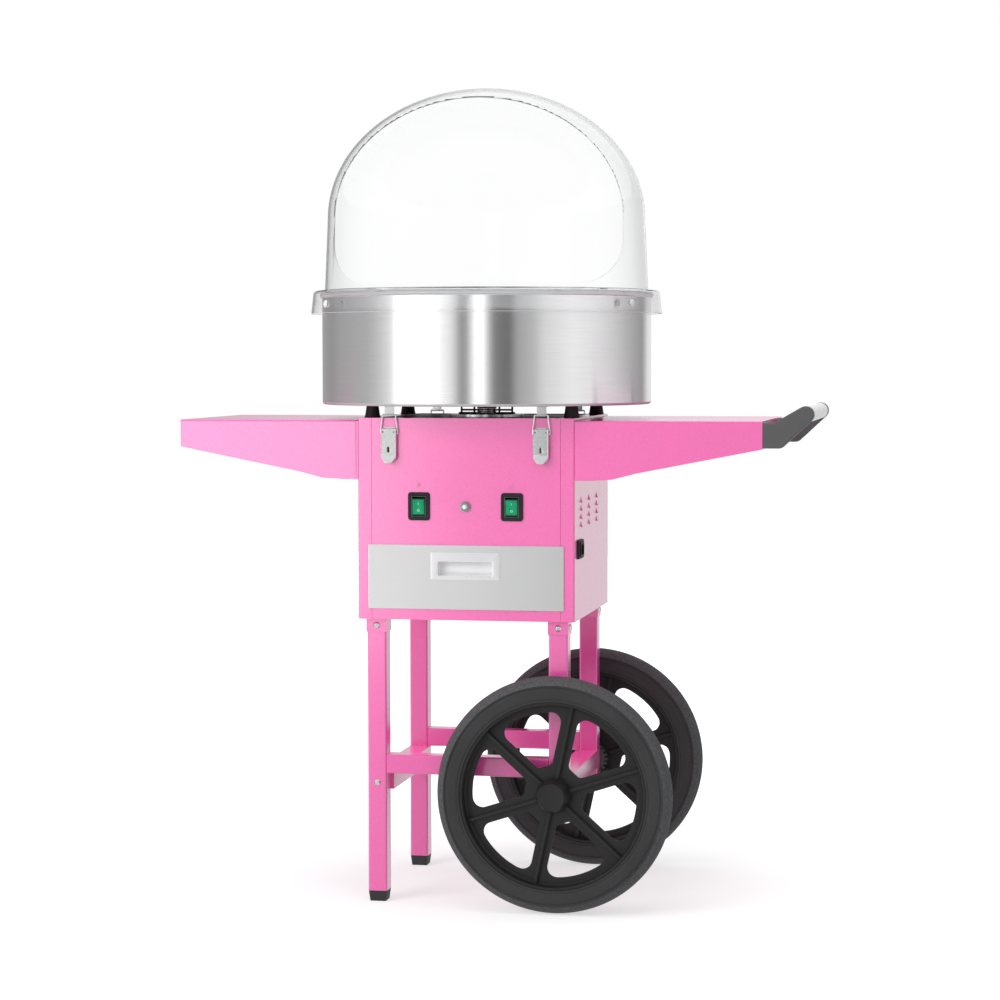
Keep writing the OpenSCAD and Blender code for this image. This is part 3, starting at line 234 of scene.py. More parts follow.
def at(x=0.0, y=0.0, z=0.0, rx=0.0, ry=0.0, rz=0.0):
    """A place, with turns about X, then Y, then Z in degrees."""
    turn = Matrix.Rotation(math.radians(rz), 4, "Z") @ Matrix.Rotation(math.radians(ry), 4, "Y") \
        @ Matrix.Rotation(math.radians(rx), 4, "X")
    return Matrix.Translation(Vector((x, y, z)) * MM) @ turn


# Turns a (y, z) outline into one that stands across the front, with its thickness along X
ACROSS = Matrix(((0, 0, 1, 0), (1, 0, 0, 0), (0, 1, 0, 0), (0, 0, 0, 1)))
# Turns an (x, z) outline into one in the front's plane, with its thickness towards the viewer
UPRIGHT = at(rx=90)


def joined(*parts):
    """One mesh of several, each a mesh or a (mesh, place) pair."""
    bm = bmesh.new()
    for part in parts:
        mesh, place = part if isinstance(part, tuple) else (part, Matrix())
        copy = bmesh.new()
        copy.from_mesh(mesh)
        copy.transform(place)
        if place.determinant() < 0:
            bmesh.ops.reverse_faces(copy, faces=copy.faces)
        moved = bpy.data.meshes.new("part")
        copy.to_mesh(moved)
        copy.free()
        bm.from_mesh(moved)
        bpy.data.meshes.remove(moved)
    mesh = bpy.data.meshes.new("part")
    bm.to_mesh(mesh)
    bm.free()
    return mesh


def carved(body, tool, operation="DIFFERENCE"):
    """The mesh left when the tool mesh cuts the body mesh."""
    a, b = (bpy.data.objects.new("cut", m) for m in (body, tool))
    for o in (a, b):
        scene.collection.objects.link(o)
    cut = a.modifiers.new("cut", "BOOLEAN")
    cut.operation, cut.object, cut.solver = operation, b, "EXACT"
    bpy.context.view_layer.update()
    mesh = bpy.data.meshes.new_from_object(a.evaluated_get(bpy.context.evaluated_depsgraph_get()))
    for o in (a, b):
        bpy.data.objects.remove(o)
    return mesh


def smooth(mesh, angle):
    """Shades a mesh smooth except across edges that turn by more than angle."""
    bm = bmesh.new()
    bm.from_mesh(mesh)
    for f in bm.faces:
        f.smooth = True
    for e in bm.edges:
        e.smooth = len(e.link_faces) != 2 or e.calc_face_angle(0) < math.radians(angle)
    bm.to_mesh(mesh)
    bm.free()


def piece(name, mesh, finish, body="cart", place=None, stands_for=(), angle=35):
    """A named object with a finish, riding on a body and standing for CAD nodes."""
    if place is not None:
        mesh = joined((mesh, place))
    smooth(mesh, angle)
    mesh.materials.clear()
    mesh.materials.append(finish)
    obj = bpy.data.objects.new(name, mesh)
    scene.collection.objects.link(obj)
    flat = obj.modifiers.new("flat faces", "WEIGHTED_NORMAL")
    flat.keep_sharp = True
    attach(obj, body)
    if stands_for:
        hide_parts(*([stands_for] if isinstance(stands_for, str) else stands_for))
    return obj


# Finishes: procedural materials

def srgb(r, g, b):
    """A linear colour from sRGB values of 0 to 255."""
    out = [c / 255 for c in (r, g, b)]
    out = [c / 12.92 if c <= 0.04045 else ((c + 0.055) / 1.055) ** 2.4 for c in out]
    return (*out, 1.0)


def link(tree, a, b):
    """Joins the output a to the input b."""
    tree.links.new(a, b)


def add(tree, kind, **inputs):
    """A shader node with its settings (lower case) and its input values (by name or number)."""
    n = tree.nodes.new(kind)
    for key, value in inputs.items():
        if hasattr(n, key):
            setattr(n, key, value)
        else:
            socket = n.inputs[int(key[1:])] if key[1:].isdigit() else n.inputs[key]
            if hasattr(value, "links"):
                link(tree, value, socket)
            else:
                socket.default_value = value
    return n


def noise(tree, scale, stretch=(1, 1, 1), detail=3.0):
    """A noise value over the object, in features per metre."""
    where = add(tree, "ShaderNodeTexCoord")
    move = add(tree, "ShaderNodeMapping", Vector=where.outputs["Object"], Scale=stretch)
    n = add(tree, "ShaderNodeTexNoise", Vector=move.outputs[0], Scale=scale, Detail=detail)
    return n.outputs["Fac"]


def spread(tree, value, low, high, a=0.3, b=0.7):
    """Maps a value between a and b to low and high."""
    n = add(tree, "ShaderNodeMapRange", Value=value)
    for key, v in zip(("From Min", "From Max", "To Min", "To Max"), (a, b, low, high)):
        n.inputs[key].default_value = v
    return n.outputs[0]


def blend(tree, factor, a, b):
    """A colour between a and b."""
    n = add(tree, "ShaderNodeMix", data_type="RGBA")
    link(tree, factor, n.inputs["Factor"])
    for socket, value in ((n.inputs[6], a), (n.inputs[7], b)):
        if hasattr(value, "links"):
            link(tree, value, socket)
        else:
            socket.default_value = value
    return n.outputs[2]


def tone(colour, k):
    """The colour k times as bright."""
    return (*[min(1.0, c * k) for c in colour[:3]], 1.0)


def finish(slot, colour, rough, metal=0.0, mottle=0.04, mottle_size=0.08, grain=900.0,
           grain_depth=0.00002, stretch=(1, 1, 1), rough_spread=0.06, edge=0.0005, edge_wear_and_highlight=1.15, lines=0.0,
           turned=False, **sockets):
    """A finish with mottled colour, a grain in its bump and roughness, and rounded edges in their own tone:
    partly wear, partly a painted highlight, and painted shade where that tone is below 1.

    mottle, edge_wear_and_highlight and lines are shares of the colour, and lengths are in metres. turned gives
    the grain rings about Z, as on turned steel.
    """
    mat = bpy.data.materials.new(slot)
    mat.use_nodes = True
    mat["slot"] = slot
    tree = mat.node_tree
    shader = tree.nodes["Principled BSDF"]
    shader.inputs["Metallic"].default_value = metal
    for key, value in sockets.items():
        shader.inputs[key.replace("_", " ")].default_value = value
    large = noise(tree, 1 / mottle_size)
    fine = noise(tree, grain, stretch, detail=4.0)
    base = blend(tree, spread(tree, large, 0, 1), tone(colour, 1 - mottle), tone(colour, 1 + mottle))
    if lines:
        base = blend(tree, spread(tree, fine, 0, 1, 0.35, 0.65), base, tone(colour, 1 - lines))
    corner = add(tree, "ShaderNodeBevel", samples=6, Radius=edge)
    true_normal = add(tree, "ShaderNodeNewGeometry")
    facing = add(tree, "ShaderNodeVectorMath", operation="DOT_PRODUCT", i0=corner.outputs[0],
                 i1=true_normal.outputs["Normal"])
    # The rounded edges are painted in the edge tone: partly wear, partly a painted highlight, and painted
    # shade where the tone is below 1.
    wear_and_highlight = spread(tree, facing.outputs["Value"], 1, 0, 0.75, 0.97)
    base = blend(tree, wear_and_highlight, base, tone(colour, edge_wear_and_highlight))
    link(tree, base, shader.inputs["Base Color"])
    link(tree, spread(tree, fine, rough - rough_spread, rough + rough_spread), shader.inputs["Roughness"])
    bump = add(tree, "ShaderNodeBump", Strength=1.0, Distance=grain_depth, Height=fine,
               Normal=corner.outputs[0])
    link(tree, bump.outputs[0], shader.inputs["Normal"])
    if turned:
        grain_way = add(tree, "ShaderNodeTangent", direction_type="RADIAL", axis="Z")
        link(tree, grain_way.outputs[0], shader.inputs["Tangent"])
    return mat


# The edge tones below paint the finishes' rounded edges lighter: partly wear, partly a painted highlight,
# strongest on the black plastic and rubber.
PINK = finish("pink_powder_coat", srgb(239, 84, 170), 0.30, mottle=0.015, grain=700, grain_depth=0.00002,
              edge_wear_and_highlight=1.2, Coat_Weight=1.0, Coat_Roughness=0.18, Coat_IOR=1.7)
# A near-black finish, which the record gives the top deck under the bowl.
DARK_DECK = finish("black_powder_coat", srgb(40, 40, 41), 0.45, mottle=0.03, grain=700, grain_depth=0.00002)
RING = (14, 14, 2600)       # stretches the grain into fine rings about Z
BOWL_STEEL = finish("brushed_steel", srgb(216, 216, 217), 0.21, metal=1.0, mottle=0.015, grain=1.0,
                    stretch=RING, grain_depth=0.000003, rough_spread=0.03, lines=0.06, edge_wear_and_highlight=1.1,
                    turned=True, Anisotropic=0.9, Anisotropic_Rotation=0.25)
# A duller, darker copy of the brushed steel: on the bowl's bottom fillet and bead it is painted shade,
# standing in for the grey reflection there; the drawer box's hem is this dull steel too.
TRIM_AND_SHADE_STEEL = finish("brushed_steel", srgb(192, 192, 193), 0.5, metal=0.3, mottle=0.03, grain=1.0,
                    stretch=RING, grain_depth=0.000003, rough_spread=0.03, lines=0.05, edge_wear_and_highlight=1.0)
FRONT_STEEL = finish("brushed_steel", srgb(214, 214, 215), 0.20, metal=1.0, mottle=0.02, grain=1.0,
                     stretch=(16, 16, 3000), grain_depth=0.000004, rough_spread=0.03, lines=0.05,
                     edge_wear_and_highlight=1.1)
CHROME = finish("satin_chrome", srgb(226, 226, 228), 0.20, metal=1.0, mottle=0.02, grain=400,
                grain_depth=0.00001)
# A lighter, less metallic copy of the satin chrome for the pull's pocket: painted light, standing in for the
# bright reflection inside the scoop.
PAINTED_LIGHT_SATIN = finish("satin_chrome", srgb(240, 240, 241), 0.38, metal=0.25, mottle=0.02, grain=600,
               grain_depth=0.00001)
ZINC = finish("zinc_plate", srgb(200, 202, 201), 0.16, metal=1.0, mottle=0.04, mottle_size=0.006, grain=900,
              grain_depth=0.000004, edge_wear_and_highlight=1.2)
# A darker copy of the zinc for the reset bush: painted shade, standing in for the dark ring round the button.
SHADED_ZINC = finish("zinc_plate", srgb(150, 152, 151), 0.3, metal=1.0, mottle=0.04, grain=900,
                   grain_depth=0.000004)
RUBBER = finish("black_rubber", srgb(30, 30, 31), 0.66, mottle=0.12, grain=1600, grain_depth=0.00006,
                edge_wear_and_highlight=1.5)
TYRE = finish("tyre_rubber", srgb(51, 51, 52), 0.72, mottle=0.12, grain=700, grain_depth=0.00022,
              edge_wear_and_highlight=1.9, edge=0.0008, Specular_IOR_Level=0.35)
TREAD = finish("tyre_rubber", srgb(80, 81, 82), 0.78, mottle=0.25, mottle_size=0.004, grain=420,
               grain_depth=0.0005, edge_wear_and_highlight=1.5, Specular_IOR_Level=0.35)
PLASTIC = finish("black_plastic", srgb(26, 26, 27), 0.55, mottle=0.08, grain=1300, grain_depth=0.00006,
                 edge_wear_and_highlight=2.2, edge=0.0008, Specular_IOR_Level=0.3)
GREY = finish("dark_grey_plastic", srgb(82, 82, 83), 0.55, mottle=0.05, grain=1300, grain_depth=0.00006)
GRIP = finish("grip_tube", srgb(250, 250, 251), 0.34, mottle=0.02, grain=600, grain_depth=0.00002)
# Two copies of the lens green: the lens is the lighter, painted as the rocker's lit centre, with its edges
# painted darker by an edge tone below 1; the key's body around it is the darker, painted shade.
LIT_GREEN = finish("green_lens", srgb(2, 162, 108), 0.3, mottle=0.2, mottle_size=0.006, grain=300,
               grain_depth=0.00001, edge=0.002, edge_wear_and_highlight=0.6, Coat_Weight=0.12, Coat_Roughness=0.1,
               Specular_IOR_Level=0.2)
SHADED_GREEN = finish("green_lens", srgb(6, 66, 48), 0.35, mottle=0.10, mottle_size=0.01, grain=300,
                    grain_depth=0.00001)
INK = finish("pink_powder_coat", srgb(214, 128, 168), 0.5, mottle=0.02, grain=700, grain_depth=0.00001)
WHITE = finish("white_plastic", srgb(236, 236, 234), 0.35, mottle=0.02, grain=900, grain_depth=0.00002)
PRINT = finish("white_plastic", srgb(225, 232, 226), 0.45, mottle=0.03, grain=900, grain_depth=0.00001)


def clear_finish():
    """Clear acrylic: glossy outside, and greyer where it is seen edge on."""
    mat = bpy.data.materials.new("clear_dome")
    mat.use_nodes = True
    mat["slot"] = "clear_dome"
    tree = mat.node_tree
    shader = tree.nodes["Principled BSDF"]
    shader.inputs["Transmission Weight"].default_value = 1.0
    shader.inputs["IOR"].default_value = 1.06
    shader.inputs["Specular IOR Level"].default_value = 0.2
    shader.inputs["Coat Weight"].default_value = 0.45
    shader.inputs["Coat IOR"].default_value = 1.18
    shader.inputs["Coat Roughness"].default_value = 0.03
    edge_on = add(tree, "ShaderNodeLayerWeight", Blend=0.5)
    haze = noise(tree, 9.0)
    clear = blend(tree, spread(tree, haze, 0, 1), (0.995, 0.996, 0.997, 1), (0.985, 0.987, 0.99, 1))
    dark = spread(tree, edge_on.outputs["Facing"], 0, 1, 0.30, 0.80)
    link(tree, blend(tree, dark, clear, (0.872, 0.875, 0.879, 1)), shader.inputs["Base Color"])
    link(tree, spread(tree, haze, 0.01, 0.035), shader.inputs["Roughness"])
    return mat


CLEAR = clear_finish()
CUT_EDGE = finish("clear_dome", srgb(250, 250, 250), 0.4, mottle=0.01, grain=900, grain_depth=0.00001,
                  edge_wear_and_highlight=1.0, Transmission_Weight=0.1, IOR=1.06)
node_finish = {
    "black_powder_coat": DARK_DECK, "black_rubber": RUBBER, "tyre_rubber": TYRE, "black_plastic": PLASTIC,
    "dark_grey_plastic": GREY, "grip_tube": GRIP, "green_lens": LIT_GREEN, "clear_dome": CLEAR,
    "pink_powder_coat": PINK, "brushed_steel": FRONT_STEEL, "satin_chrome": CHROME, "zinc_plate": ZINC,
    "white_plastic": WHITE,
}
slot_of = {part["node"]: part["material_slot"] for part in frame["record"]["subparts"]}
for name, obj in nodes.items():
    obj.data.materials.clear()
    obj.data.materials.append(node_finish[slot_of[name]])


# The bowl, and the dome with its clips

CART = at(CART_X)
BOWL = at(CART_X, 0, BOWL_Z)

WALL, BEAD_R, EDGE_R = 1.5, 4.0, 4.0
HUB_HOLE_R, COLLAR_H, FLOOR_R = 26.0, 15.0, 180.0
LOW_ROW, HIGH_ROW = 60.0, 120.0     # heights at which the wall has a row of points
inside_r, collar_r, edge_x = BOWL_R - WALL, HUB_HOLE_R + WALL, BOWL_R - EDGE_R
bowl_profile = (
    [(HUB_HOLE_R, 0), (FLOOR_R, 0)] + arc(edge_x, EDGE_R, EDGE_R, -90, 0, 8)
    + [(BOWL_R, LOW_ROW), (BOWL_R, HIGH_ROW)] + arc(BOWL_R, BOWL_H - BEAD_R, BEAD_R, -90, 246, 24)
    + [(inside_r, HIGH_ROW), (inside_r, LOW_ROW)] + arc(edge_x, EDGE_R, EDGE_R - WALL, 0, -90, 8)
    + [(FLOOR_R, WALL), (collar_r + 2, WALL), (collar_r, WALL + 2), (collar_r, COLLAR_H),
       (HUB_HOLE_R + WALL / 2, COLLAR_H + 1), (HUB_HOLE_R, COLLAR_H)]
)
bowl = piece("bowl_shell", lathe(bowl_profile, 192), BOWL_STEEL, place=BOWL, stands_for="bowl")
# The bottom fillet and the bead take the darker trim steel: painted shade along the bowl's lower edge and rim.
bowl.data.materials.append(TRIM_AND_SHADE_STEEL)
for face in bowl.data.polygons:
    middle = face.center / MM - Vector((CART_X, 0, BOWL_Z))
    if middle.z < EDGE_R and middle.xy.length > edge_x or middle.z > BOWL_H - 2 * BEAD_R:
        face.material_index = 1

DOME_TURN, DOME_T, DOME_TOP, SKIRT_H, RIM_GAP = 4.5, 3.0, 325.0, 33.0, 0.3
DOME = BOWL @ Matrix.Rotation(math.radians(DOME_TURN), 4, "Z")
foot_x = BOWL_R - 4.5
shoulder_x = BOWL_R + BEAD_R + 9.5
skirt_x = BOWL_R + 17.5
skirt_low = BOWL_H - SKIRT_H
ledge_low, ledge_top = BOWL_H + RIM_GAP, BOWL_H + RIM_GAP + DOME_T
crown_z = BOWL_H + 118
crown_a = foot_x - 5
crown_b = BOWL_H + DOME_TOP - crown_z


def corner(a, b, c, r, steps):
    """The rounded corner at b between a and c."""
    return rounded([(*a, 0), (*b, r), (*c, 0)], steps)[1:-1]


def crown(a, b):
    """A quarter of the ellipse with half axes a and b, from the crown's foot up to its top."""
    angles = [math.radians(90 * i / 40) for i in range(40)]
    return [(a * math.cos(t), crown_z + b * math.sin(t)) for t in angles] + [(0, crown_z + b)]


dome_profile = (
    [(skirt_x - DOME_T + 0.4, skirt_low), (skirt_x - 0.4, skirt_low), (skirt_x, skirt_low + 0.5)]
    + corner((skirt_x, skirt_low), (shoulder_x, ledge_top), (foot_x, ledge_top), 6, 8)
    + corner((shoulder_x, ledge_top), (foot_x, ledge_top), (crown_a, crown_z), 2, 4)
    + crown(crown_a, crown_b) + crown(crown_a - DOME_T, crown_b - DOME_T)[::-1]
    + corner((crown_a, crown_z), (foot_x - DOME_T, ledge_low), (shoulder_x, ledge_low), 1, 3)
    + corner((foot_x, ledge_low), (shoulder_x - DOME_T, ledge_low), (skirt_x - DOME_T, skirt_low), 3, 6)
    + [(skirt_x - DOME_T, skirt_low + 0.5)]
)
OPENING_X, OPENING_R = 226.5, 66.0
sill_z, spring_z = BOWL_H + 10, crown_z - 4
rise = BOWL_H + DOME_TOP - 24 - spring_z
opening = (
    corner((OPENING_X, spring_z), (OPENING_X, sill_z), (0, sill_z), OPENING_R, 14)[::-1]
    + [(OPENING_X * math.cos(math.radians(a)), spring_z + rise * math.sin(math.radians(a)))
       for a in (180 * i / 64 for i in range(65))]
    + corner((0, sill_z), (-OPENING_X, sill_z), (-OPENING_X, spring_z), OPENING_R, 14)[::-1]
)
cutter = plate([opening], 0, 330, 0)
dome_mesh = carved(lathe(dome_profile, 192), joined((cutter, UPRIGHT)))


def on_cut(face):
    """True for a face of the dome's cut opening or of its skirt's lower rim."""
    spot = face.center / MM
    if spot.z < skirt_low + 1.2:
        return True
    if abs(face.normal.y) > 0.01:
        return False
    spot = Vector((spot.x, spot.z))
    sides = zip(opening, opening[1:] + opening[:1])
    nearest = (geometry.intersect_point_line(spot, Vector(a), Vector(b))[0] for a, b in sides)
    return any((point.xy - spot).length < 0.05 for point in nearest)


cut_faces = [face.index for face in dome_mesh.polygons if on_cut(face)]
dome = piece("dome_shell", dome_mesh, CLEAR, "lift_off_dome", DOME, "dome", angle=40)
dome.data.materials.append(CUT_EDGE)
for index in cut_faces:
    dome.data.polygons[index].material_index = 1

CLIP_DROP, CLIP_ANGLES = 19.0, (-147, -30, 30, 147)
slope = (skirt_x - shoulder_x) / (SKIRT_H + DOME_T)
clip_x = shoulder_x + slope * (CLIP_DROP + DOME_T)
clip = joined(
    lathe([(0, 2.2), (1.6, 2.2), (1.9, 2.8), (4.2, 2.5), (5.4, 1.7), (6, 0.8), (6, 0.3), (0, 0.3)], 32),
    lathe([(0, -5.5), (2.6, -5.5), (3, -5), (3, 0.4), (0, 0.4)], 24),
    lathe([(0, -5.4), (4.4, -5.4), (5, -4.8), (5, -3.4), (0, -3.4)], 32),
)
clip_spot = at(clip_x, 0, BOWL_H - CLIP_DROP, ry=90 - math.degrees(math.atan(slope)))
clips = [(clip, at(rz=a) @ clip_spot) for a in CLIP_ANGLES]
piece("dome_push_clips", joined(*clips), WHITE, "lift_off_dome", DOME, "dome_clips")

BUFFER_X, BUFFER_Y = 158.7, 124.0
buffer = lathe([(0, 0), (12, 0), (12.5, 0.6), (12.5, 1.6), (11.8, 2.4), (9.6, 17.6), (9.0, 18.6), (8.4, 19.1),
                (0, 19.1)], 48)
buffers = [(buffer, at(sx * BUFFER_X, sy * BUFFER_Y, CABINET_TOP)) for sx in (-1, 1) for sy in (-1, 1)]
piece("bowl_buffer_cones", joined(*buffers), RUBBER, place=CART, stands_for="bowl_buffers")


# The frame's square tubes

LEG_X, LEG_Y, TUBE = 144.0, 147.5, 30.0
FOOT_TOP, AXLE_LEG_LOW, RAIL_Z = 16.5, 152.0, 218.0


def tube(length, size=TUBE, wall=1.5, r=2.5):
    """A square tube along Z with rounded corners and clean cut ends."""
    return plate([rect(size, size, r), rect(size - 2 * wall, size - 2 * wall, r - wall)], 0, length, 0.3, 1)


for end, side in ((-1, "front"), (1, "rear")):
    for sx, hand, low in ((-1, "left", FOOT_TOP), (1, "right", AXLE_LEG_LOW)):
        piece(f"{side}_{hand}_leg_tube", tube(CABINET_Z - low), PINK,
              place=at(CART_X + sx * LEG_X, end * LEG_Y, low), stands_for=f"{side}_{hand}_leg")
    piece(f"{side}_rail_tube", tube(2 * LEG_X - TUBE), PINK,
          place=at(CART_X - LEG_X + TUBE / 2, end * LEG_Y, RAIL_Z, ry=90), stands_for=f"{side}_rail")


# The wheels

WHEEL_R, WHEEL_Y, SEAT_R, HUB_R = 183.5, 198.5, 145.5, 27.5
SPOKES, SPOKE_TURN, SPOKE_W, WEB_T, RIB_W, RIB_H = 6, 18, 25, 6, 6, 6
RIM_HALF, TYRE_HALF, HUB_IN, BUSH_R, TREAD_R = 19.0, 21.0, 30.0, 9.9, 172.0
PITCH = 360 / SPOKES


def window_outline(turn):
    """One window between two spokes, its middle turned by turn degrees."""
    out_r, in_r = SEAT_R - 17.5, HUB_R + 20
    a_out, a_in = (PITCH / 2 - math.degrees(math.asin(SPOKE_W / 2 / r)) for r in (out_r, in_r))
    outer_arc = [(out_r, (i / 12 - 0.5) * 2 * a_out * 0.72, 0) for i in range(1, 12)]
    corners = [(in_r, -a_in, 8), (out_r, -a_out, 15), *outer_arc, (out_r, a_out, 15), (in_r, a_in, 8)]
    points = [(r * math.cos(math.radians(a)), r * math.sin(math.radians(a)), bend) for r, a, bend in corners]
    c, s = math.cos(math.radians(turn)), math.sin(math.radians(turn))
    return [(x * c - y * s, x * s + y * c) for x, y in rounded(points, 8)]


half = TYRE_HALF
tyre_side = [
    (SEAT_R + 4, RIM_HALF - 2), (SEAT_R, RIM_HALF), (SEAT_R, half - 0.8), (SEAT_R + 0.6, half - 0.3),
    (SEAT_R + 2.4, half - 0.3), (SEAT_R + 3, half - 1.1), (SEAT_R + 4, half - 1.1),
    (SEAT_R + 4.8, half - 0.2), (SEAT_R + 7, half), (159, half), (164.5, half - 0.2), (166.2, half - 0.6),
    (167, half - 1.6),
    (168, half - 1.6), (168.6, half - 0.7), (169.8, half - 0.4), (171, half - 0.9), (173.5, half - 2.2),
    (176, half - 4.2), (178, half - 6.6), (179.8, half - 9.4), (181.2, half - 12.4), (182.3, half - 15.2),
    (183.1, half - 18.2), (183.4, 0.9),
]
tyre_profile = tyre_side + [(r, -z) for r, z in reversed(tyre_side)]
rim_side = [
    (SEAT_R + 4, RIM_HALF - 2), (SEAT_R, RIM_HALF), (SEAT_R - 3.3, RIM_HALF), (SEAT_R - 4.3, RIM_HALF - 0.4),
    (SEAT_R - 5, RIM_HALF - 1.5), (SEAT_R - 5.6, 5.5), (SEAT_R - 8.5, 2.9),
]
rim_profile = rim_side + [(r, -z) for r, z in reversed(rim_side)]
hub_profile = [
    (BUSH_R, -HUB_IN + 3), (HUB_R - 6, -HUB_IN + 3), (HUB_R - 5, -HUB_IN + 4), (HUB_R, -3),
    (HUB_R + 1.5, -2.5), (HUB_R + 1.5, 2.5), (HUB_R, 3), (HUB_R, 8.4), (HUB_R - 0.6, 9), (BUSH_R, 9),
]
base, top = 9.0, 29.0
cap_profile = [
    (0, top - 0.9), (17.2, top - 0.9), (18.2, top - 0.3), (19.2, top), (20.5, top - 0.4), (21.4, top - 1.6),
    (22.9, top - 5), (25.6, base + 4), (26.9, base + 0.6), (26.9, base), (22, base), (17, top - 3),
    (0, top - 3),
]
half_web, half_rib = WEB_T / 2, WEB_T / 2 + RIB_H
disc, bore = circle(SEAT_R - 8, steps=144), circle(HUB_R, steps=48)
rib = block((HUB_R - 1, -RIB_W / 2, -half_rib), (SEAT_R - 4.6, RIB_W / 2, half_rib), 1.4, 3)

for end, side in ((-1, "front"), (1, "rear")):
    place = at(CART_X + LEG_X, end * WHEEL_Y, WHEEL_R, rx=-90 * end)
    body = f"{side}_wheel"
    tyre = piece(f"{side}_tyre_ring", lathe(tyre_profile, 180), TYRE, body, place, f"{side}_tyre", angle=50)
    tyre.data.materials.append(TREAD)
    for face in tyre.data.polygons:
        middle = face.center / MM - place.translation / MM
        if math.hypot(middle.x, middle.z) > TREAD_R:
            face.material_index = 1
    first = -end * SPOKE_TURN
    windows = [window_outline(first + (k + 0.5) * PITCH) for k in range(SPOKES)]
    web = plate([disc, *windows, bore], -half_web, half_web, 1.1, 3)
    ribs = [(rib, at(rz=first + k * PITCH)) for k in range(SPOKES)]
    rim = joined(lathe(rim_profile, 180), web, lathe(hub_profile, 72), *ribs)
    piece(f"{side}_wheel_web", rim, PLASTIC, body, place, f"{side}_wheel_rim")
    piece(f"{side}_hub_cover", lathe(cap_profile, 72), PLASTIC, body, place, f"{side}_hub_cap")


# The push handle

GRIP_X, GRIP_Z, GRIP_R, ARM_T, CHEEK, END_R = 523.0, 767.5, 12.5, 22.0, 6.0, 13.0
TRAY_END, TRAY_TOP = 459.0, 757.5
root_top, root_low = TRAY_TOP - 2.5, TRAY_TOP - 41
nose = arc(GRIP_X, GRIP_Z, END_R, -47, 120, 20)
low_knee = nose[0][0] - (nose[0][1] - root_low) / math.tan(math.radians(43))
top_knee = nose[-1][0] - (nose[-1][1] - root_top) / math.tan(math.radians(30))
arm_outline = rounded([(TRAY_END, root_low, 0), (low_knee, root_low, 10)] + [(x, y, 0) for x, y in nose]
                      + [(top_knee, root_top, 14), (TRAY_END, root_top, 0)], 8)
cheek = plate([arm_outline], 0, CHEEK, 2.0, 4, low_bevel=0.0)
inner = plate([arm_outline, circle(GRIP_R + 0.05, GRIP_X, GRIP_Z, 48)], CHEEK - ARM_T, 0, 0, 1, low_bevel=0.2)
for mirror, side in ((1, "front"), (-1, "rear")):
    turn = at(CART_X) @ Matrix.Diagonal((1, mirror, 1, 1)) @ at(0, CHEEK - FACE_Y) @ UPRIGHT
    piece(f"{side}_arm_moulding", joined(cheek, inner), GREY, place=turn, stands_for=f"{side}_handle_arm")
grip_end = FACE_Y - CHEEK - 0.05
grip = lathe([(11, -grip_end), (GRIP_R - 0.3, -grip_end), (GRIP_R, 0.3 - grip_end), (GRIP_R, grip_end - 0.3),
              (GRIP_R - 0.3, grip_end), (11, grip_end)], 64)
piece("handle_grip_tube", grip, GRIP, place=at(CART_X + GRIP_X, 0, GRIP_Z, rx=90), stands_for="handle_grip")


# The drawer's front, its cup pull and the hem of its box

DRAWER_W, DRAWER_H, DRAWER_Z, DRAWER_T = 309.0, 100.0, 464.0, 2.0
PULL_W, PULL_H, PULL_Z, PULL_DEPTH, FLANGE_T, SHELL_T = 109.5, 43.0, 532.0, 15.0, 2.0, 1.1
FRONT = at(CART_X) @ UPRIGHT        # places an outline that stands in the front's plane
front_y = FACE_Y + 0.3
pull_y = front_y + DRAWER_T
pull_top, pocket_w = PULL_Z + PULL_H / 2, PULL_W - 23
pocket_low, pocket_high = PULL_Z - PULL_H / 2 + 6, pull_top - 15

hole_x, hole_low, hole_top = pocket_w / 2 + 2.6, pocket_low - 2.6, pull_top - 3.4
hole = [(-hole_x, hole_low), (hole_x, hole_low), (hole_x, hole_top), (-hole_x, hole_top)]
front = plate([rect(DRAWER_W, DRAWER_H, 1.2, 0, DRAWER_Z + DRAWER_H / 2), hole], front_y, pull_y, 0.5, 3)
piece("drawer_front_plate", front, FRONT_STEEL, "drawer", FRONT, "drawer_front")


def scoop():
    """The pull's pocket: a curved shell behind the flange, closed at both ends."""
    top_z, low_z = pull_top - 5.2, pocket_low
    mouth_y, back_y = 0.6, -PULL_DEPTH
    line = [(mouth_y, low_z)]
    for a in (20, 45):
        turn = math.radians(a)
        line.append((back_y * 0.55 * math.sin(turn), low_z + 1.5 * (1 - math.cos(turn))))
    for a in (10, 30, 50, 70, 90):
        turn = math.radians(a)
        line.append((back_y * (0.55 + 0.45 * math.sin(turn)),
                     low_z + 1.2 + (top_z - low_z) * 0.55 * (1 - math.cos(turn))))
    line += [(back_y, top_z - 5), (back_y * 0.9, top_z - 1.4), (back_y * 0.65, top_z), (mouth_y, top_z)]
    outside = []
    for i, (y, z) in enumerate(line):
        away = -SHELL_T if i < len(line) // 2 else SHELL_T
        outside.append((max(y, back_y) - SHELL_T if y < 0 else y, z + away))
    bm = bmesh.new()
    half = pocket_w / 2

    def row(points, x):
        """The pocket's section at x, as vertices."""
        return [bm.verts.new(Vector((x, z, pull_y + y)) * MM) for y, z in points]

    outer = [row(outside, -half - SHELL_T), row(outside, half + SHELL_T)]
    inner = [row(line, -half), row(line, half)]
    for left, right in (outer, inner):
        for k in range(len(line) - 1):
            bm.faces.new((left[k], left[k + 1], right[k + 1], right[k]))
    for out_row, in_row in zip(outer, inner):
        bm.faces.new(out_row)
        bm.faces.new(in_row)
        bm.faces.new((out_row[0], in_row[0], in_row[-1], out_row[-1]))
    for k in (0, -1):
        bm.faces.new((outer[0][k], inner[0][k], inner[1][k], outer[1][k]))
    return finished(bm)


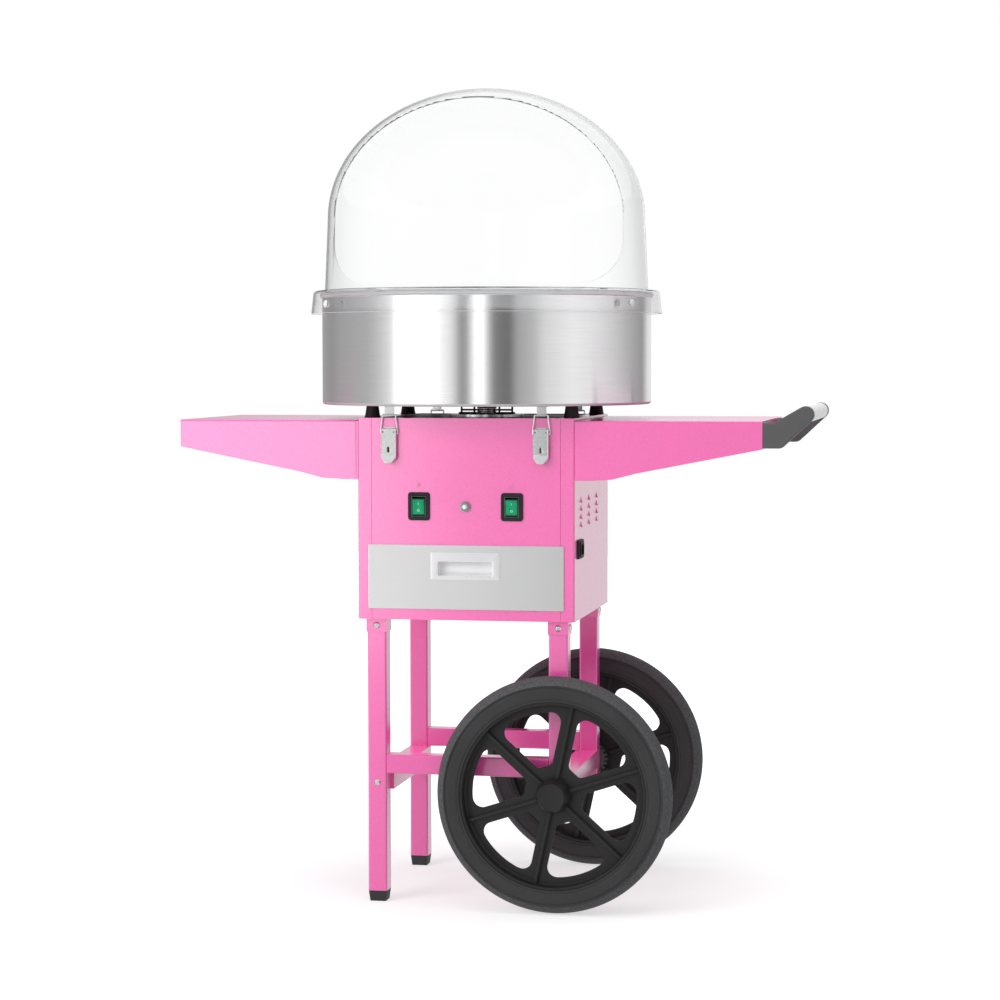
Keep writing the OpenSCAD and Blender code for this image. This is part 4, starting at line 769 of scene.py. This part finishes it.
mouth = rect(pocket_w, pocket_high - pocket_low, 3, 0, (pocket_low + pocket_high) / 2)
flange = plate([rect(PULL_W, PULL_H, 2.5, 0, PULL_Z), mouth], pull_y, pull_y + FLANGE_T, 0.9, 4, low_bevel=0)
piece("cup_pull_pressing", flange, CHROME, "drawer", FRONT, "cup_pull")
# The pocket wears the lighter satin: painted light inside the scoop.
piece("cup_pull_pocket", scoop(), PAINTED_LIGHT_SATIN, "drawer", FRONT)

BOX_W, BOX_D, BOX_Y, BOX_TOP, HEM = 289.0, 288.0, -27.3, 556.0, 4.0
hem = plate([rect(BOX_W + 0.6, BOX_D, 1.5, 0, BOX_Y), rect(BOX_W - 2 * HEM, BOX_D - 2 * HEM, 1, 0, BOX_Y)],
            BOX_TOP - 2.4, BOX_TOP + 0.8, 0.8, 3)
piece("drawer_box_hem", hem, TRIM_AND_SHADE_STEEL, "drawer", CART)


# The two rocker switches and their icons

SWITCH_X, SWITCH_Z, ROCKER_W, ROCKER_H, TILT = 73.5, 624.0, 20.5, 27.0, 7
BEZEL_W, BEZEL_H, BEZEL_T = 34.5, 43.5, 3.5
HOUSING_W, HOUSING_H, HOUSING_D, POCKET_D = 27.9, 36.9, 24.0, 12.0
recess = rect(ROCKER_W + 3.6, ROCKER_H + 5, 1.6)
mouth = rect(ROCKER_W + 0.6, ROCKER_H + 2.6, 1)
housing = rect(HOUSING_W, HOUSING_H, 1)
bezel = joined(
    plate([rect(BEZEL_W, BEZEL_H, 4.5), recess], 0, BEZEL_T, 1.4, 4, low_bevel=0),
    plate([housing, mouth], -POCKET_D, 0, 0, 1),
    plate([housing], -HOUSING_D, -POCKET_D, 0.4, 1),
)
lip = plate([recess, mouth], 0, BEZEL_T + 0.8, 0.5, 2, low_bevel=0)
half = ROCKER_H / 2
key_outline = rounded([(-7.2, half, 0.8), (-5.4, 0, 30), (-7.2, -half, 0.8), (3, -half + 5, 2), (6, 0, 6),
                       (3, half - 5, 2)], 6)
key = plate([key_outline], -ROCKER_W / 2, ROCKER_W / 2, 0.5, 3)
lens_half, lens_end = ROCKER_W / 2 - 1.4, half - 2.2
lens_outline = rounded([(-7.5, lens_end, 0.4), (-5.7, 0, 30), (-7.5, -lens_end, 0.4), (-5, -lens_end, 0),
                        (-5, lens_end, 0)], 6)
lens_plate = plate([lens_outline], -lens_half, lens_half, 0.3, 2)
pin_end = ROCKER_W / 2 + 1
pin = lathe([(0, -pin_end), (1.5, -pin_end), (1.5, pin_end), (0, pin_end)], 24)
one = block((-0.4, -1.7, 0), (0.4, 1.7, 0.3), 0.08)
ring = lathe([(1.1, 0), (1.8, 0), (1.8, 0.3), (1.1, 0.3)], 32)
marks = joined((one, at(0, -6.6, 5.4, rx=99)), (ring, at(0, -6.6, -5.4, rx=81)))
spots = [at(CART_X + side * SWITCH_X, -FACE_Y, SWITCH_Z) for side in (-1, 1)]
for spot, hand in zip(spots, ("left", "right")):
    turn = spot @ at(0, 1, 0, rx=TILT)
    body = f"{hand}_switch_rocker"
    # The key's body is the darker green and the lens the lighter: painted shade round a painted lit centre.
    piece(f"{hand}_rocker_key", joined(key, pin), SHADED_GREEN, body, turn @ ACROSS, f"{hand}_rocker")
    piece(f"{hand}_rocker_lens", lens_plate, LIT_GREEN, body, turn @ ACROSS)
    piece(f"{hand}_rocker_marks", marks, PRINT, body, turn)
bezels = [(bezel, spot @ UPRIGHT) for spot in spots]
piece("switch_bezel_pair", joined(*bezels), PLASTIC, stands_for="switch_bezels")
piece("switch_inner_frames", joined(*[(lip, spot @ UPRIGHT) for spot in spots]), GREY)

PRINT_T = 0.08      # the icons' ink
blade = plate([rect(1.0, 2.6, 0.45, 0, 2.9)], 0, PRINT_T, 0)
fan_hub = plate([circle(1.5, steps=24), circle(0.8, steps=16)], 0, PRINT_T, 0)
fan = joined(*[(blade, at(rz=60 * k)) for k in range(6)], fan_hub)
heater = plate([circle(4.2, steps=40), circle(3.3, steps=40)], 0, PRINT_T, 0)
icons = joined((fan, at(-SWITCH_X - 0.5, 0, 33, rx=90)), (heater, at(SWITCH_X - 0.5, 0, 31.5, rx=90)))
piece("switch_icons", icons, INK, place=at(CART_X, -FACE_Y, SWITCH_Z))


# The reset button

RESET = at(CART_X, -FACE_Y, SWITCH_Z, rx=90)
THREAD_R, ROOT_R, THREAD_STEP, KNURL_R, GROOVE_R, KNURLS = 6.2, 5.8, 0.8, 8.6, 8.25, 30
knurl = []
for k in range(2 * KNURLS):
    r, a = KNURL_R if k % 2 else GROOVE_R, math.radians(180 / KNURLS * k)
    knurl.append((r * math.cos(a), r * math.sin(a)))
nut = plate([knurl, circle(6.1, steps=36)], 0, 2.8, 0.5, 2)
thread = []
for k in range(9):
    z = -1.4 + k * THREAD_STEP
    thread += [(THREAD_R, z), (ROOT_R, z + THREAD_STEP / 2)]
neck = lathe([(3.45, 5.9), (3.45, -12), (THREAD_R, -12)] + thread + [(ROOT_R, 5.9)], 40)
case = lathe([(0, -1.5), (9.2, -1.5), (9.2, -24), (0, -24)], 40)
# The bush wears the darker zinc: painted shade round the button.
piece("reset_nut_and_neck", joined(nut, neck, case), SHADED_ZINC, place=RESET, stands_for="reset_bush")
button = lathe([(0, 9), (2.4, 9), (3.1, 8.7), (3.4, 8.2), (3.4, -9), (0, -9)], 36)
piece("reset_push_button", button, GRIP, "reset_plunger", RESET, "reset_button")


# The four toggle latches

LATCH_X, LATCH_Z, LATCH_W, LATCH_LEN, LATCH_OUT = 120.0, 743.0, 24.0, 53.0, 5.0
LEVER_T, TOE_Z, EAR_R, EAR_T = 1.2, -39.0, 2.6, 1.2
BAIL_ARM, BAIL_LEN, BAIL_LOW_W, BAIL_TOP_W, WIRE_R, HOOK_W = 7.0, 31.3, 33.0, 25.0, 1.25, 15.0
half_w, ear_x, toe_len = LATCH_W / 2, LATCH_W / 2 - 3.5, LATCH_LEN + TOE_Z
lever_y = LATCH_OUT + 4.2

lever_outline = rounded([(-half_w, 1.5, 1), (-half_w, TOE_Z, 0), (half_w, TOE_Z, 0), (half_w, 1.5, 1)], 8)
toe_outline = rounded([(-half_w, 0.2, 0), (-half_w, 10 - toe_len, 6), (-half_w + 7, -toe_len, 6),
                       (half_w - 7, -toe_len, 6), (half_w, 10 - toe_len, 6), (half_w, 0.2, 0)], 8)
cheek_outline = rounded([(-lever_y, TOE_Z, 0), (-lever_y + 4, TOE_Z + 2, 2), (-1.9, -BAIL_ARM - 6, 3),
                         (-1.9, -BAIL_ARM + 1, 2.5), (-LATCH_OUT + 3.3, 1.5, 2), (-lever_y, 1.5, 0)], 5)
dimples = [circle(1.3, x, -3.4, 16) for x in (-8.7, 8.7)]
lever_face = plate([lever_outline, rect(4, 9, 1.9, 0, -31), *dimples], lever_y - LEVER_T, lever_y, 0.5, 3)
cheek = plate([cheek_outline], half_w - LEVER_T, half_w, 0.35, 2)
toe = plate([toe_outline], 0, LEVER_T, 0.3, 2)
lever = joined((lever_face, UPRIGHT), (toe, at(0, LEVER_T - lever_y, TOE_Z, rx=74)), (cheek, ACROSS),
               (cheek, Matrix.Diagonal((-1, 1, 1, 1)) @ ACROSS))

plate_x, plate_low = ear_x + 1, 4 - LATCH_LEN
base_outline = rounded([(-plate_x, plate_low, 3), (plate_x, plate_low, 3), (plate_x, 4, 1),
                        (-plate_x, 4, 1)], 5)
base_plate = plate([base_outline], 0, LEVER_T, 0.3)
ear_tip = -LATCH_OUT - EAR_R
ear_outline = rounded([(0, -4.5, 0), (ear_tip, -4.5, 2.2), (ear_tip, EAR_R, 2.2), (-LATCH_OUT, EAR_R, 1),
                       (0, 0.2, 0)], 6)
ear = plate([ear_outline], -EAR_T / 2, EAR_T / 2, 0.25)
rivet_side = [(1.5, half_w), (2.2, half_w), (2.2, half_w + 0.2), (1.6, half_w + 0.7), (0, half_w + 0.7)]
rivet = lathe([(r, -z) for r, z in reversed(rivet_side)] + rivet_side, 24)
ears = [(ear, at(sx * (ear_x - EAR_T / 2)) @ ACROSS) for sx in (1, -1)]
latch_base = joined((base_plate, UPRIGHT), *ears, (rivet, at(0, -LATCH_OUT) @ ACROSS))

foot, head, inner_end = BAIL_LOW_W / 2 - WIRE_R, BAIL_TOP_W / 2 - WIRE_R, ear_x + 0.4
bail_path = bent([(inner_end, 0, 0), (foot, 0, 0), (head, 0, BAIL_LEN), (-head, 0, BAIL_LEN), (-foot, 0, 0),
                  (-inner_end, 0, 0)], 2.2, 7)
bail = sweep(bail_path, circle(WIRE_R, steps=14), up=(0, 1, 0))
lip_z, tab_z = BAIL_LEN - BAIL_ARM - WIRE_R - 0.3, BOWL_Z - LATCH_Z
hook_outline = rounded([(22, tab_z, 0), (22, tab_z - 1.5, 0), (-0.6, tab_z - 1.5, 1), (-0.6, lip_z - 1.5, 1.5),
                        (-7.4, lip_z - 1.3, 0.6), (-7.4, lip_z + 0.2, 0.6), (-2.1, lip_z, 0.4),
                        (-2.1, tab_z, 1.5)], 4)
hook = plate([hook_outline], -HOOK_W / 2, HOOK_W / 2, 0.3)
bases, hooks = [], []
for end, side in ((-1, "front"), (1, "rear")):
    face = CART @ Matrix.Rotation(0 if end < 0 else math.pi, 4, "Z")
    for sx, hand in ((-1, "left"), (1, "right")):
        spot = face @ at(-end * sx * LATCH_X, -FACE_Y, LATCH_Z)
        bases.append((latch_base, spot))
        hooks.append((hook, spot @ ACROSS))
        latch = f"{side}_{hand}"
        piece(f"{latch}_latch_handle", lever, ZINC, f"{latch}_latch_lever", spot, f"{latch}_lever")
        pivot = spot @ at(0, 1 - LATCH_OUT, -BAIL_ARM)
        piece(f"{latch}_bail_wire", bail, ZINC, f"{latch}_latch_bail", pivot, f"{latch}_bail")
piece("latch_base_plates", joined(*bases), ZINC, stands_for="latch_plates")
piece("bowl_catch_hooks", joined(*hooks), ZINC, stands_for="catch_hooks")


# The slip rings' sleeves

DRUM_LOW, DRUM_R = 764.3, 15.5
sleeves = []
for a, b in ((0.1, 2.3), (3.2, 5.1), (5.9, 7.8), (8.7, 10.9)):
    low, high = DRUM_LOW + a, DRUM_LOW + b
    sleeves.append(lathe([(DRUM_R + 0.03, low), (DRUM_R + 0.2, low + 0.1), (DRUM_R + 0.2, high - 0.1),
                          (DRUM_R + 0.03, high)], 64))
piece("slip_ring_sleeves", joined(*sleeves), PLASTIC, "spinner", CART)


# The frame's screws

HEAD_R, HEAD_H, HEAD_ARC, SHANK_R = 5.5, 3.3, 62, 3.0
full = math.radians(HEAD_ARC)
head_profile = [(0, HEAD_H)]
for a in (12, 24, 36, 48, 56, HEAD_ARC):
    turn = math.radians(a)
    head_profile.append((HEAD_R * math.sin(turn) / math.sin(full),
                         HEAD_H - HEAD_H * (1 - math.cos(turn)) / (1 - math.cos(full))))
cross = carved(block((-0.75, -3.2, 1.2), (0.75, 3.2, 6)), block((-3.2, -0.75, 1.2), (3.2, 0.75, 6)), "UNION")
screw_head = carved(lathe(head_profile + [(HEAD_R, -0.01), (0, -0.01)], 40), cross)


def screw(length):
    """A pan head screw on its shank, with its tip at the far end."""
    shank = lathe([(0, 0), (SHANK_R, 0), (SHANK_R, 0.6 - length), (SHANK_R - 0.6, -length), (0, -length)], 24)
    return joined(screw_head, shank)


SHORT, LONG = 7.6, 35.5
SOCKET_R, SOCKET_Z, RAIL_SCREW_Z = 16.15, 436.5, 188.5
screws = []
for sx in (-1, 1):
    for end in (-1, 1):
        leg = at(CART_X + sx * LEG_X, end * LEG_Y)
        screws.append((screw(SHORT), leg @ at(0, end * SOCKET_R, SOCKET_Z, rx=-90 * end)))
        screws.append((screw(SHORT), leg @ at(sx * SOCKET_R, 0, SOCKET_Z, ry=90 * sx)))
        if sx < 0:
            screws.append((screw(LONG), leg @ at(0, end * TUBE / 2, RAIL_SCREW_Z, rx=-90 * end)))
piece("frame_screw_set", joined(*screws), ZINC, stands_for="frame_screws")


# The floor, the studio's world and the lamps

def seen_directly(tree, ways):
    """1 for what the camera sees, also through the dome, and 0 for light and reflections."""
    seen = add(tree, "ShaderNodeMath", operation="MAXIMUM", i0=ways.outputs["Is Camera Ray"],
               i1=ways.outputs["Is Transmission Ray"])
    return seen.outputs[0]


def floor_finish():
    """A pale floor that keeps the shadow and is as bright as the backdrop for the camera."""
    mat = bpy.data.materials.new("pale_floor")
    mat.use_nodes = True
    tree = mat.node_tree
    tree.nodes.clear()
    out = add(tree, "ShaderNodeOutputMaterial")
    lit = add(tree, "ShaderNodeBsdfDiffuse")
    plain = add(tree, "ShaderNodeBsdfDiffuse")
    where = add(tree, "ShaderNodeTexCoord")
    reach = add(tree, "ShaderNodeVectorMath", operation="LENGTH", i0=where.outputs["Object"])
    strength = spread(tree, reach.outputs["Value"], 0.58, 1.0, 0.25, 1.1)
    glow = add(tree, "ShaderNodeEmission", Strength=strength)
    for node, level in ((lit, 0.52), (plain, 0.72), (glow, 1)):
        node.inputs["Color"].default_value = (level, level, level, 1)
    both = add(tree, "ShaderNodeAddShader")
    link(tree, lit.outputs[0], both.inputs[0])
    link(tree, glow.outputs[0], both.inputs[1])
    mix = add(tree, "ShaderNodeMixShader")
    link(tree, seen_directly(tree, add(tree, "ShaderNodeLightPath")), mix.inputs[0])
    link(tree, plain.outputs[0], mix.inputs[1])
    link(tree, both.outputs[0], mix.inputs[2])
    link(tree, mix.outputs[0], out.inputs["Surface"])
    return mat


# The stage and its lamps are in metres
SPAN, SUNK = 7.0, 0.0002
floor_mesh = bpy.data.meshes.new("floor")
corners = [(-SPAN, -SPAN, 0), (SPAN, -SPAN, 0), (SPAN, SPAN, 0), (-SPAN, SPAN, 0)]
floor_mesh.from_pydata(corners, [], [(0, 1, 2, 3)])
floor_mesh.materials.append(floor_finish())
floor = bpy.data.objects.new("floor", floor_mesh)
scene.collection.objects.link(floor)
floor.location.z = -SUNK
floor.visible_glossy = False

STUDIO = [  # the studio's brightness by compass angle, as polished metal sees it
    (-180, 0.85), (-168, 0.8), (-160, 0.42), (-126, 0.4), (-112, 0.5), (-80, 0.6), (-71, 0.74), (-63, 0.95),
    (-57, 1.2), (-50, 3), (-30, 3), (-22, 1.5), (-15, 1.25), (-11, 0.95), (-7, 0.36), (-3, 0.36), (1, 1.1),
    (4, 2.0), (8, 2.0), (12, 0.75), (16, 0.24), (27, 0.15), (32, 0.50), (44, 0.68), (51, 0.98), (72, 1.24),
    (88, 1.16), (105, 0.94), (125, 0.66), (150, 0.4), (164, 0.95), (180, 0.85),
]
BRIGHTEST = max(level for _, level in STUDIO)
world = bpy.data.worlds.new("studio")
scene.world = world
world.use_nodes = True
tree = world.node_tree
tree.nodes.clear()
direction = add(tree, "ShaderNodeTexCoord")
parts = add(tree, "ShaderNodeSeparateXYZ", Vector=direction.outputs["Generated"])
turned = add(tree, "ShaderNodeMath", operation="MULTIPLY", i0=parts.outputs["Y"], i1=-1.0)
compass = add(tree, "ShaderNodeMath", operation="ARCTAN2", i0=parts.outputs["X"], i1=turned.outputs[0])
share = spread(tree, compass.outputs[0], 0, 1, -math.pi, math.pi)
ramp = add(tree, "ShaderNodeValToRGB")
link(tree, share, ramp.inputs[0])
stops = ramp.color_ramp.elements
for degrees, level in STUDIO:
    stop = stops[0] if degrees == -180 else stops[-1] if degrees == 180 else stops.new((degrees + 180) / 360)
    stop.color = (level / BRIGHTEST, level / BRIGHTEST, level / BRIGHTEST, 1)
bands = add(tree, "ShaderNodeVectorMath", operation="SCALE", i0=ramp.outputs[0], Scale=BRIGHTEST)
height = add(tree, "ShaderNodeMath", operation="ABSOLUTE", i0=parts.outputs["Z"])
walls = blend(tree, spread(tree, height.outputs[0], 0, 1, 0.3, 0.6), bands.outputs[0], (1.1, 1.1, 1.1, 1))
ways = add(tree, "ShaderNodeLightPath")
mirrored = add(tree, "ShaderNodeMath", operation="MINIMUM", i0=ways.outputs["Glossy Depth"], i1=1.0)
soft = blend(tree, seen_directly(tree, ways), (0.44, 0.44, 0.45, 1), (1, 1, 1, 1))
colour = blend(tree, mirrored.outputs[0], soft, walls)
sky = add(tree, "ShaderNodeBackground", Strength=1.0)
link(tree, colour, sky.inputs["Color"])
out = add(tree, "ShaderNodeOutputWorld")
link(tree, sky.outputs[0], out.inputs["Surface"])


def lamp(name, place, target, size, watts, glossy=False):
    """A rectangular lamp that faces target; the dome doesn't show it, and steel only if glossy."""
    data = bpy.data.lights.new(name, "AREA")
    data.shape, data.size, data.size_y, data.energy = "RECTANGLE", size[0], size[1], watts
    obj = bpy.data.objects.new(name, data)
    obj.location = place
    obj.rotation_euler = (Vector(target) - Vector(place)).to_track_quat("-Z", "Y").to_euler()
    obj.visible_glossy = glossy
    obj.visible_transmission = False
    scene.collection.objects.link(obj)
    return obj


front_paint = bpy.data.collections.new("front_paint")
for obj in scene.objects:
    if obj.type == "MESH" and obj.data.materials and obj.data.materials[0] == PINK:
        if "rear" not in obj.name and "rail" not in obj.name:
            front_paint.objects.link(obj)
CARD_Y, CARD_Z = -3.2, 0.65
for name, x, size, watts in (("card_left", -2.1, (2.6, 1.2), 27), ("card_front", 0.5, (2.2, 1.2), 5)):
    card = lamp(name, (x, CARD_Y, CARD_Z), (x, 0, CARD_Z), size, watts, glossy=True)
    card.visible_diffuse = False
    card.light_linking.receiver_collection = front_paint
lamp("key_left", (-2.6, -3.2, 2.3), (-0.1, 0, 0.6), (2.4, 2.0), 85)
lamp("fill_front", (1.6, -3.6, 1.6), (0, 0, 0.6), (2.4, 2.2), 12)
lamp("top", (0, -0.4, 3.6), (0, 0, 0.5), (3.0, 3.0), 50)


# The camera, solved from the photograph

AZ, EL, ROLL = math.radians(11.01183), math.radians(3.15526), math.radians(-0.07522)
DIST, PAN_X, AIM_Z, FOCAL_PX, FRAME_PX, SENSOR = 4218.641, 20.875, 625.081, 2617.117, 1000, 36
back = Vector((math.sin(AZ) * math.cos(EL), -math.cos(AZ) * math.cos(EL), math.sin(EL)))
right = Vector((math.cos(AZ), math.sin(AZ), 0))
up = back.cross(right)
spot = Vector((CART_X, 0, AIM_Z)) + back * DIST + right * PAN_X
across = right * math.cos(ROLL) + up * math.sin(ROLL)
upward = up * math.cos(ROLL) - right * math.sin(ROLL)
lens = bpy.data.cameras.new("photo")
lens.sensor_width = SENSOR
lens.lens = FOCAL_PX / FRAME_PX * SENSOR
lens.clip_start, lens.clip_end = 0.1, 100
camera = bpy.data.objects.new("photo", lens)
rows = [(across[k], upward[k], back[k], spot[k] * MM) for k in range(3)]
camera.matrix_world = Matrix((*rows, (0, 0, 0, 1)))
scene.collection.objects.link(camera)
scene.camera = camera
scene.view_settings.view_transform = "Standard"
